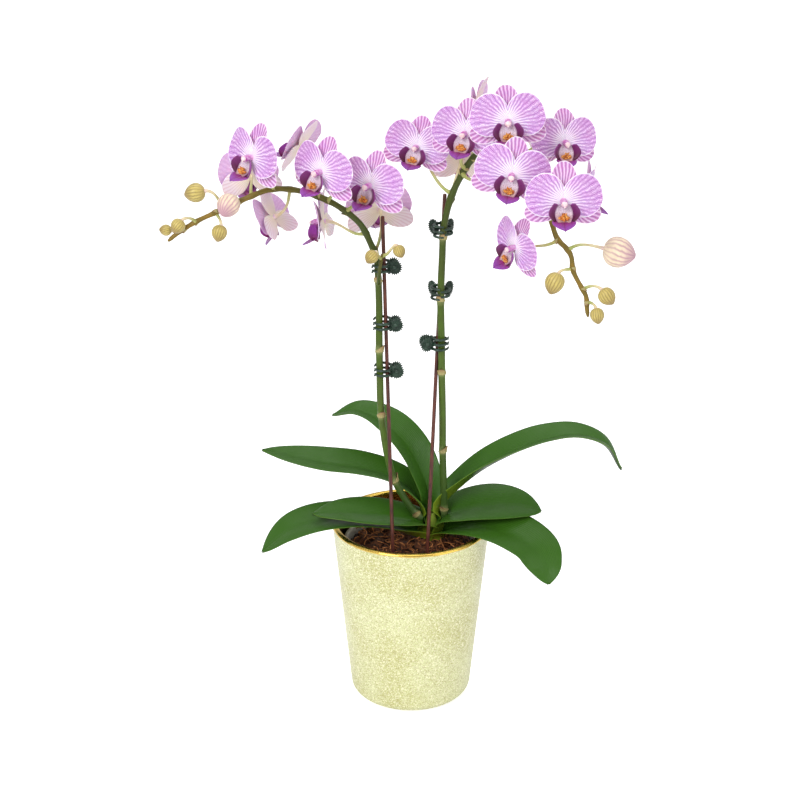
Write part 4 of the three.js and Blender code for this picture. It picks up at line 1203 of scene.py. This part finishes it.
def clip_half(name, side, middle, heading, lean, rays):
    """A disc on an arm, a hinge bar, and curved teeth that reach round the stem and the stake."""
    reach, spread = CLIP["reach"], (CLIP["gap"] + CLIP["radius"] * math.sin(lean * DEG)) * side
    turn = Matrix.Rotation(heading * DEG, 4, "Z")
    place = Matrix.Translation([c * MM for c in middle]) @ turn
    disc = grow(f"{name}_disc", bpy.data.meshes.new("none"), rays)
    tilt = Matrix.Rotation(side * lean * DEG, 4, "Z") @ Matrix.Rotation(math.pi / 2, 4, "X")
    disc.data.transform(place @ Matrix.Translation((reach * MM, spread * MM, 0)) @ tilt)
    settle(disc, name)
    form = Form()
    hinge, aside, tooth, pitch = CLIP["hinge"], side * (CLIP["tooth"] + GAP), CLIP["tooth"], CLIP["pitch"]
    tube_form(form, np.linspace((hinge, aside, 0), (reach, spread, 0), 6), tooth * 1.6)
    bar = np.linspace((hinge, aside, -pitch * 1.3), (hinge, aside, pitch * 1.3), 5)
    tube_form(form, bar, tooth, up=(0, 1, 0))
    teeth = 3 if side > 0 else 2
    share = np.linspace(0, 1, 18)
    for i in range(teeth):
        height = (i - (teeth - 1) / 2) * pitch
        angles = side * (0.22 + np.arange(1, 5) / 4 * (math.pi - 0.3))
        curve = Line([(hinge, aside, height), *ring(CLIP["grip"], angles, height)])
        tube_form(form, curve.at(share), tooth * 1.3 * (1 - 0.3 * share**3), 9)
    form.placed(np.array(turn.to_3x3()), middle)
    make_piece(f"{name}_grip", form, ["clip"], name)


def clip(name, stem, stake_name, z, heading, lean, rays):
    """Two halves that hold a spike to its stake."""
    on_stem = LINES[stem].at(LINES[stem].share_at_height(z, 0.5))
    a, b = (np.array(p, float) for p in STAKES[stake_name])
    on_stake = a + (b - a) * (z - a[2]) / (b[2] - a[2])
    for half, side in (("near", -1), ("far", 1)):
        clip_half(f"{name}_{half}", side, (on_stem + on_stake) / 2, heading, lean, rays)


# ---------------------------------------------------------------- flowers

LIP = ["lobe", "midlobe", "callus", "throat"]


def facing(turn, rise, roll):
    """The flower's own directions as columns: to its right, up its dorsal sepal, and the way it faces."""
    a, e = turn * DEG, rise * DEG
    normal = np.array([math.sin(a) * math.cos(e), -math.cos(a) * math.cos(e), math.sin(e)])
    up = np.array([-math.sin(a) * math.sin(e), math.cos(a) * math.sin(e), math.cos(e)])
    up = turned_about(up, normal, -roll * DEG)
    return np.stack([np.cross(up, normal), up, normal], -1)


def outward(grid, *others):
    """The grids, turned round if need be, so that the first one's upper side faces along +Z."""
    normal_z = np.cross(np.gradient(grid, axis=1), np.gradient(grid, axis=0))[..., 2].mean()
    return [g[:, ::-1] if normal_z < 0 else g for g in (grid, *others)]


def tepal(form, kind, sign, seed, across_count, along_count):
    """A petal or sepal with a slight change of its own in turn, length, sweep, cup and ruffle."""
    spec = TEPALS[kind]
    vary = lambda k, reach: (wave(seed, k, sign + 2) - 0.5) * 2 * reach
    turn = (spec["turn"] + vary(1, 3.5)) * DEG
    dx, dy = math.sin(turn) * sign, math.cos(turn)
    length = spec["length"] * (1 + vary(2, 0.03))
    sweep, cup = spec["sweep"] + vary(3, 1.6), spec["cup"] + vary(4, 1.2)
    t = np.sin(np.linspace(0, 1, along_count) * math.pi / 2)
    u = np.linspace(-1, 1, across_count)
    u = np.sin(u * math.pi / 2) * 0.35 + u * 0.65
    half = spec["width"] / 2 * blade_share(t, WIDEST, spec["claw"], 0.02, spec["blunt"], spec["swell"])
    tt, uu = t[:, None], u[None, :]
    aside, out = half[:, None] * (1 - spec["uneven"] * uu * sign) * uu, length * tt
    rise = spec["seat"] + spec["lift"] * np.sin(np.minimum(1, tt * 3) * math.pi / 2) + sweep * tt**2
    ruffle = 0.55 * np.sin(tt * 8 + uu * 2 + vary(5, 3)) * np.abs(uu) ** 2.5 * tt
    crease = spec["crease"] * np.exp(-((uu / 0.12) ** 2)) * np.sin(math.pi * np.minimum(1, tt * 1.15))
    z = rise + cup * np.sin(math.pi * tt) * uu**2 + ruffle - crease
    grid = np.stack(np.broadcast_arrays(dx * out + dy * aside, dy * out - dx * aside, z), -1)
    beyond = 3  # how far before the claw the veins would meet
    across = 0.5 + np.arctan2(aside, out + beyond) / (2 * spec["fan"] * DEG)
    along = np.hypot(aside, out + beyond) / (length + beyond)
    to_side = np.abs(half[:, None] * (1 - spec["uneven"] * uu * sign)) * (1 - np.abs(uu))
    margin = np.minimum(to_side, length * (1 - tt))
    thick = (0.28 + 0.3 * np.exp(-tt * 4)) * np.sqrt(np.maximum(0.06, 1 - uu**4))
    thick = thick * np.sqrt(np.maximum(0.1, 1 - tt**6))
    grid, across, along, margin = outward(grid, across, along, margin)
    blade_form(form, grid, thick, thick, across, along, 0, margin)


def side_lobe(form, sign, seed):
    """A lobe of the lip that stands up beside the column, curved like a bracket."""
    a = np.linspace(0, 1, 18)[:, None]
    b = np.linspace(-1, 1, 13)[None, :]
    reach = np.sqrt(np.sin(math.pi * (0.07 + 0.84 * a)))
    bow = np.sin(math.pi * (0.1 + 0.74 * a))
    x = sign * (3.2 + 5.5 * bow + 3.2 * b * reach + 0.4 * wave(seed, 7))
    y = -14.6 + 14.4 * a + 1.0 * b - 1.0 * b**2
    z = 7.6 + 3.4 * b * reach + 1.6 * bow - 1.2 * b**2
    grid, = outward(np.stack(np.broadcast_arrays(x, y, z), -1))
    thick = np.full(grid.shape[:2], 0.4)
    blade_form(form, grid, thick, thick, np.linspace(0, 1, 13), a[:, 0])


def middle_lobe(form):
    """The pointed lobe that juts forward, with a crease along its middle."""
    t = np.linspace(0, 1, 22)
    u = np.linspace(-1, 1, 17)
    half = 9.2 * blade_share(t, 0.42, 0.42, 0.06, 1.5)
    tt, uu = t[:, None], u[None, :]
    x = half[:, None] * uu
    y = -13.8 - 4.8 * tt + 2.2 * np.abs(uu) ** 1.4 * (1 - 0.8 * tt) - 0.6 * np.exp(-((uu / 0.16) ** 2))
    z = 6.5 + 12.8 * tt - 2.0 * np.abs(uu) ** 2
    grid = np.stack(np.broadcast_arrays(x, y, z), -1)
    thick = 0.45 * np.sqrt(np.maximum(0.08, 1 - uu**4)) * np.ones_like(tt)
    blade_form(form, grid, thick, thick, (u + 1) / 2, t, LIP.index("midlobe"))


def throat(form):
    """The hollow floor of the lip between the column's foot and the middle lobe."""
    t = np.linspace(0, 1, 12)
    u = np.linspace(-1, 1, 15)
    tt, uu = t[:, None], u[None, :]
    half = 4.6 + 2.4 * np.sin(math.pi * tt)
    z = 4.0 + 4.4 * tt - 1.6 * np.sin(math.pi * tt) + 2.6 * uu**2
    grid = np.stack(np.broadcast_arrays(half * uu, -1.5 - 13.0 * tt, z), -1)
    thick = np.full(grid.shape[:2], 0.5)
    blade_form(form, grid[:, ::-1], thick, thick, (u + 1) / 2, t, LIP.index("throat"))


def callus(form, seed):
    """The knobbly growth at the foot of the throat, with two blunt horns."""
    for row, (count, drop) in enumerate(((7, 12.6), (6, 10.9), (3, 9.2))):
        for k in range(count):
            across = (k - (count - 1) / 2) * 1.15
            size = 0.8 + 0.4 * wave(seed, k, 5 + row)
            place = (across, -drop + 0.8 * wave(seed, k, 8 + row) - 0.1 * across**2 * (row - 1),
                     8.2 + 1.5 * wave(seed, k, 2 + row))
            ball_form(form, place, (size, size * 1.1, size * 1.2), LIP.index("callus"), 8, 6)
    for sign in (1, -1):
        horn = Line([(0.8 * sign, -9.6, 8.6), (1.1 * sign, -8.2, 9.4), (1.6 * sign, -7.3, 10.6)])
        tube_form(form, horn.at(np.linspace(0, 1, 7)), np.linspace(0.8, 0.35, 7), 8, LIP.index("callus"))


def flower(name, at, turn, rise, roll, size, stem, share):
    seed = sum(ord(c) * (i + 3) for i, c in enumerate(name)) % 997
    axes = facing(turn, rise, roll)
    petals, sepals, lip, column = Form(), Form(), Form(), Form()
    for sign in (1, -1):
        tepal(petals, "petal", sign, seed, 27, 27)
    for kind, sign in (("dorsal", 1), ("lateral", 1), ("lateral", -1)):
        tepal(sepals, kind, sign, seed, 19, 25)
    for sign in (1, -1):
        side_lobe(lip, sign, seed)
    throat(lip)
    middle_lobe(lip)
    callus(lip, seed)
    along = np.linspace(0, 1, 12)
    line = Line([(0, 0, -2.5), (0, 0.4, 2), (0, 0.2, 6), (0, -1.2, 9)]).at(along)
    tube_form(column, line, np.interp(along, [0, 0.3, 1], [2.2, 2.5, 2.7]), 16, up=(0, 1, 0))
    ball_form(column, (0, -0.6, 9.6), (2.5, 2.1, 2.0), 1, 18, 10)
    ball_form(column, (0, -2.2, 10.4), (0.9, 1.3, 0.8), 1, 12, 8)
    for part, form, finishes in (("petals", petals, ["petal"]), ("sepals", sepals, ["sepal"]),
                                 ("lip", lip, LIP),
                                 ("column", column, ["column", "cap"])):
        form.placed(axes * size, at)
        make_piece(f"{name}_{part}", form, finishes, name)
    stalk(name, np.array(at, float), axes[:, 2], 1.5 * size, stem, share, 2.3 * size)


def stalk(name, at, normal, behind, stem, share, end_radius):
    """The curved stalk from a stem to the back of a flower or bud."""
    start, heading = LINES[stem].at(share), LINES[stem].heading(share)
    back = at - normal * behind
    out = back - start
    out = unit(out - np.dot(out, heading) * heading)
    start = start + out * (stem_radius(stem, share) - BEDDED)
    reach = np.linalg.norm(back - start)
    radius, steps = STALK["radius"], STALK["steps"]
    points = bezier(start, start + out * reach * 0.35, back - normal * reach * 0.4, back, steps)
    t = np.linspace(0, 1, steps)
    radii = radius + STALK["collar"] * np.exp(-((t / 0.06) ** 2)) + STALK["ripple"] * np.sin(t * 9)
    radii += (end_radius - radius) * np.clip((t - 0.8) / 0.2, 0, 1) ** 2
    seed = stem_seed(name, [(points, radii, t, np.zeros(steps))])
    settle(grow(name + "_stalk", seed, STEM_TREES["stalk"], Sides=12), name)


def bud(name, at, turn, rise, length, width, stem, share, kind):
    """An egg-shaped bud with three shallow seams and fine ribs, slightly twisted."""
    axes = facing(turn, rise, 0)
    angles = turns(40)
    t = np.linspace(0.015, 0.985, 26)
    shape = np.interp(t, [0, 0.03, 0.12, 0.25, 0.42, 0.6, 0.78, 0.92, 1],
                      [0.08, 0.24, 0.37, 0.46, 0.5, 0.47, 0.36, 0.2, 0.03])
    shape = np.convolve(np.pad(shape, 1, mode="edge"), [0.25, 0.5, 0.25], "valid")
    seam = np.abs(np.cos(1.5 * angles)) ** 0.6
    rings = []
    for part, radius in zip(t, shape):
        ribs = 1 - 0.07 * (1 - seam) * math.sin(math.pi * part) + 0.012 * np.cos(15 * angles)
        rings.append(ring(width * radius * ribs, angles + 0.25 * part, length * (part - 0.5)))
    form = Form()
    rings_form(form, rings, 0, ((0, 0, -length / 2), (0, 0, length / 2)))
    form.placed(axes, at)
    make_piece(name + "_body", form, ["bud_" + kind], name)
    stalk(name, np.array(at, float), axes[:, 2], length / 2 - 1, stem, share, 1.9)


# ---------------------------------------------------------------- floor, light and camera


LIGHTS = {  # place | target | width and depth | power
    "key_light": ((-1.3, -1.9, 1.9), (0, 0, 0.35), (1.2, 1.2), 42),
    "fill_light": ((1.7, -1.3, 1.2), (0, 0, 0.3), (1.4, 1.4), 11),
    "top_light": ((0.1, 0.4, 2.3), (0, 0, 0.3), (1.6, 1.6), 16),
}
CAMERA = dict(lens=79.42, sensor=36, place=(-0.0096, -1.4, 0.825), down=21.4)
# how bright the floor and the world are as light, and how bright to the camera
FLOOR_GLOW, WORLD_GLOW = (0.15, 0.6), (0.6, 1.0)


def glow(tree, as_light, as_seen):
    seen = node(tree, "ShaderNodeLightPath").outputs["Is Camera Ray"]
    return remap(tree, seen, 0.0, 1.0, as_light, as_seen)


def floor():
    """A pale floor that sweeps up behind."""
    count, wide, below = 40, 9.0, 0.0002
    run = np.linspace(0, 1, count)
    bend = np.clip((run - 0.6) / 0.4, 0, 1) * math.pi / 2
    y = np.where(run < 0.6, -4 + run / 0.6 * 12, 8 + 3 * np.sin(bend))
    z = np.where(run < 0.6, 0.0, 5 - 5 * np.cos(bend))
    points = [(side * wide, b, c - below) for b, c in zip(y, z) for side in (-1, 1)]
    faces = [(2 * i, 2 * i + 1, 2 * i + 3, 2 * i + 2) for i in range(count - 1)]
    mesh = bpy.data.meshes.new("floor")
    mesh.from_pydata(points, [], faces)
    mesh.polygons.foreach_set("use_smooth", np.ones(len(faces), bool))
    f = Finish("floor_white", Roughness=0.9, Specular_IOR_Level=0.1, Base_Color=(0.9, 0.9, 0.9, 1),
               Emission_Color=(1, 1, 1, 1))
    f.put(glow(f.tree, *FLOOR_GLOW), "Emission Strength")
    mesh.materials.append(f.material)
    into_scene("floor", mesh)


def soft_light(name, place, target, size, power):
    data = bpy.data.lights.new(name, "AREA")
    data.shape, data.size, data.size_y, data.energy = "RECTANGLE", size[0], size[1], power
    place = np.array(place, float)
    z = unit(place - np.array(target, float))
    x = unit(np.cross((0, 0, 1), z))
    matrix = Matrix(np.stack([x, np.cross(z, x), z], -1).tolist()).to_4x4()
    matrix.translation = place.tolist()
    into_scene(name, data).matrix_world = matrix


def studio():
    """A white world and three soft lights."""
    world = bpy.data.worlds.new("studio")
    world.use_nodes = True
    background = world.node_tree.nodes["Background"].inputs
    background[0].default_value = (1, 1, 1, 1)
    world.node_tree.links.new(glow(world.node_tree, *WORLD_GLOW), background[1])
    bpy.context.scene.world = world
    for name, values in LIGHTS.items():
        soft_light(name, *values)
    bpy.context.scene.view_settings.view_transform = "Standard"


def camera():
    data = bpy.data.cameras.new("camera")
    data.lens, data.sensor_width = CAMERA["lens"], CAMERA["sensor"]
    obj = into_scene("camera", data)
    obj.location = CAMERA["place"]
    obj.rotation_euler = ((90 - CAMERA["down"]) * DEG, 0, 0)
    bpy.context.scene.camera = obj


camera()
studio()
floor()
cover_pot()
nursery_pot()
growing_medium()
crown()
for leaf_name, leaf_values in LEAVES.items():
    leaf(leaf_name, *leaf_values)
for spike_name in SPIKES:
    spike(spike_name)
for stake_name in STAKES:
    stake(stake_name)
RAYS = ray_tree()
for clip_name, clip_values in CLIPS.items():
    clip(clip_name, *clip_values, RAYS)
for flower_name, flower_values in FLOWERS.items():
    flower(flower_name, *flower_values)
for bud_name, bud_values in BUDS.items():
    bud(bud_name, *bud_values)
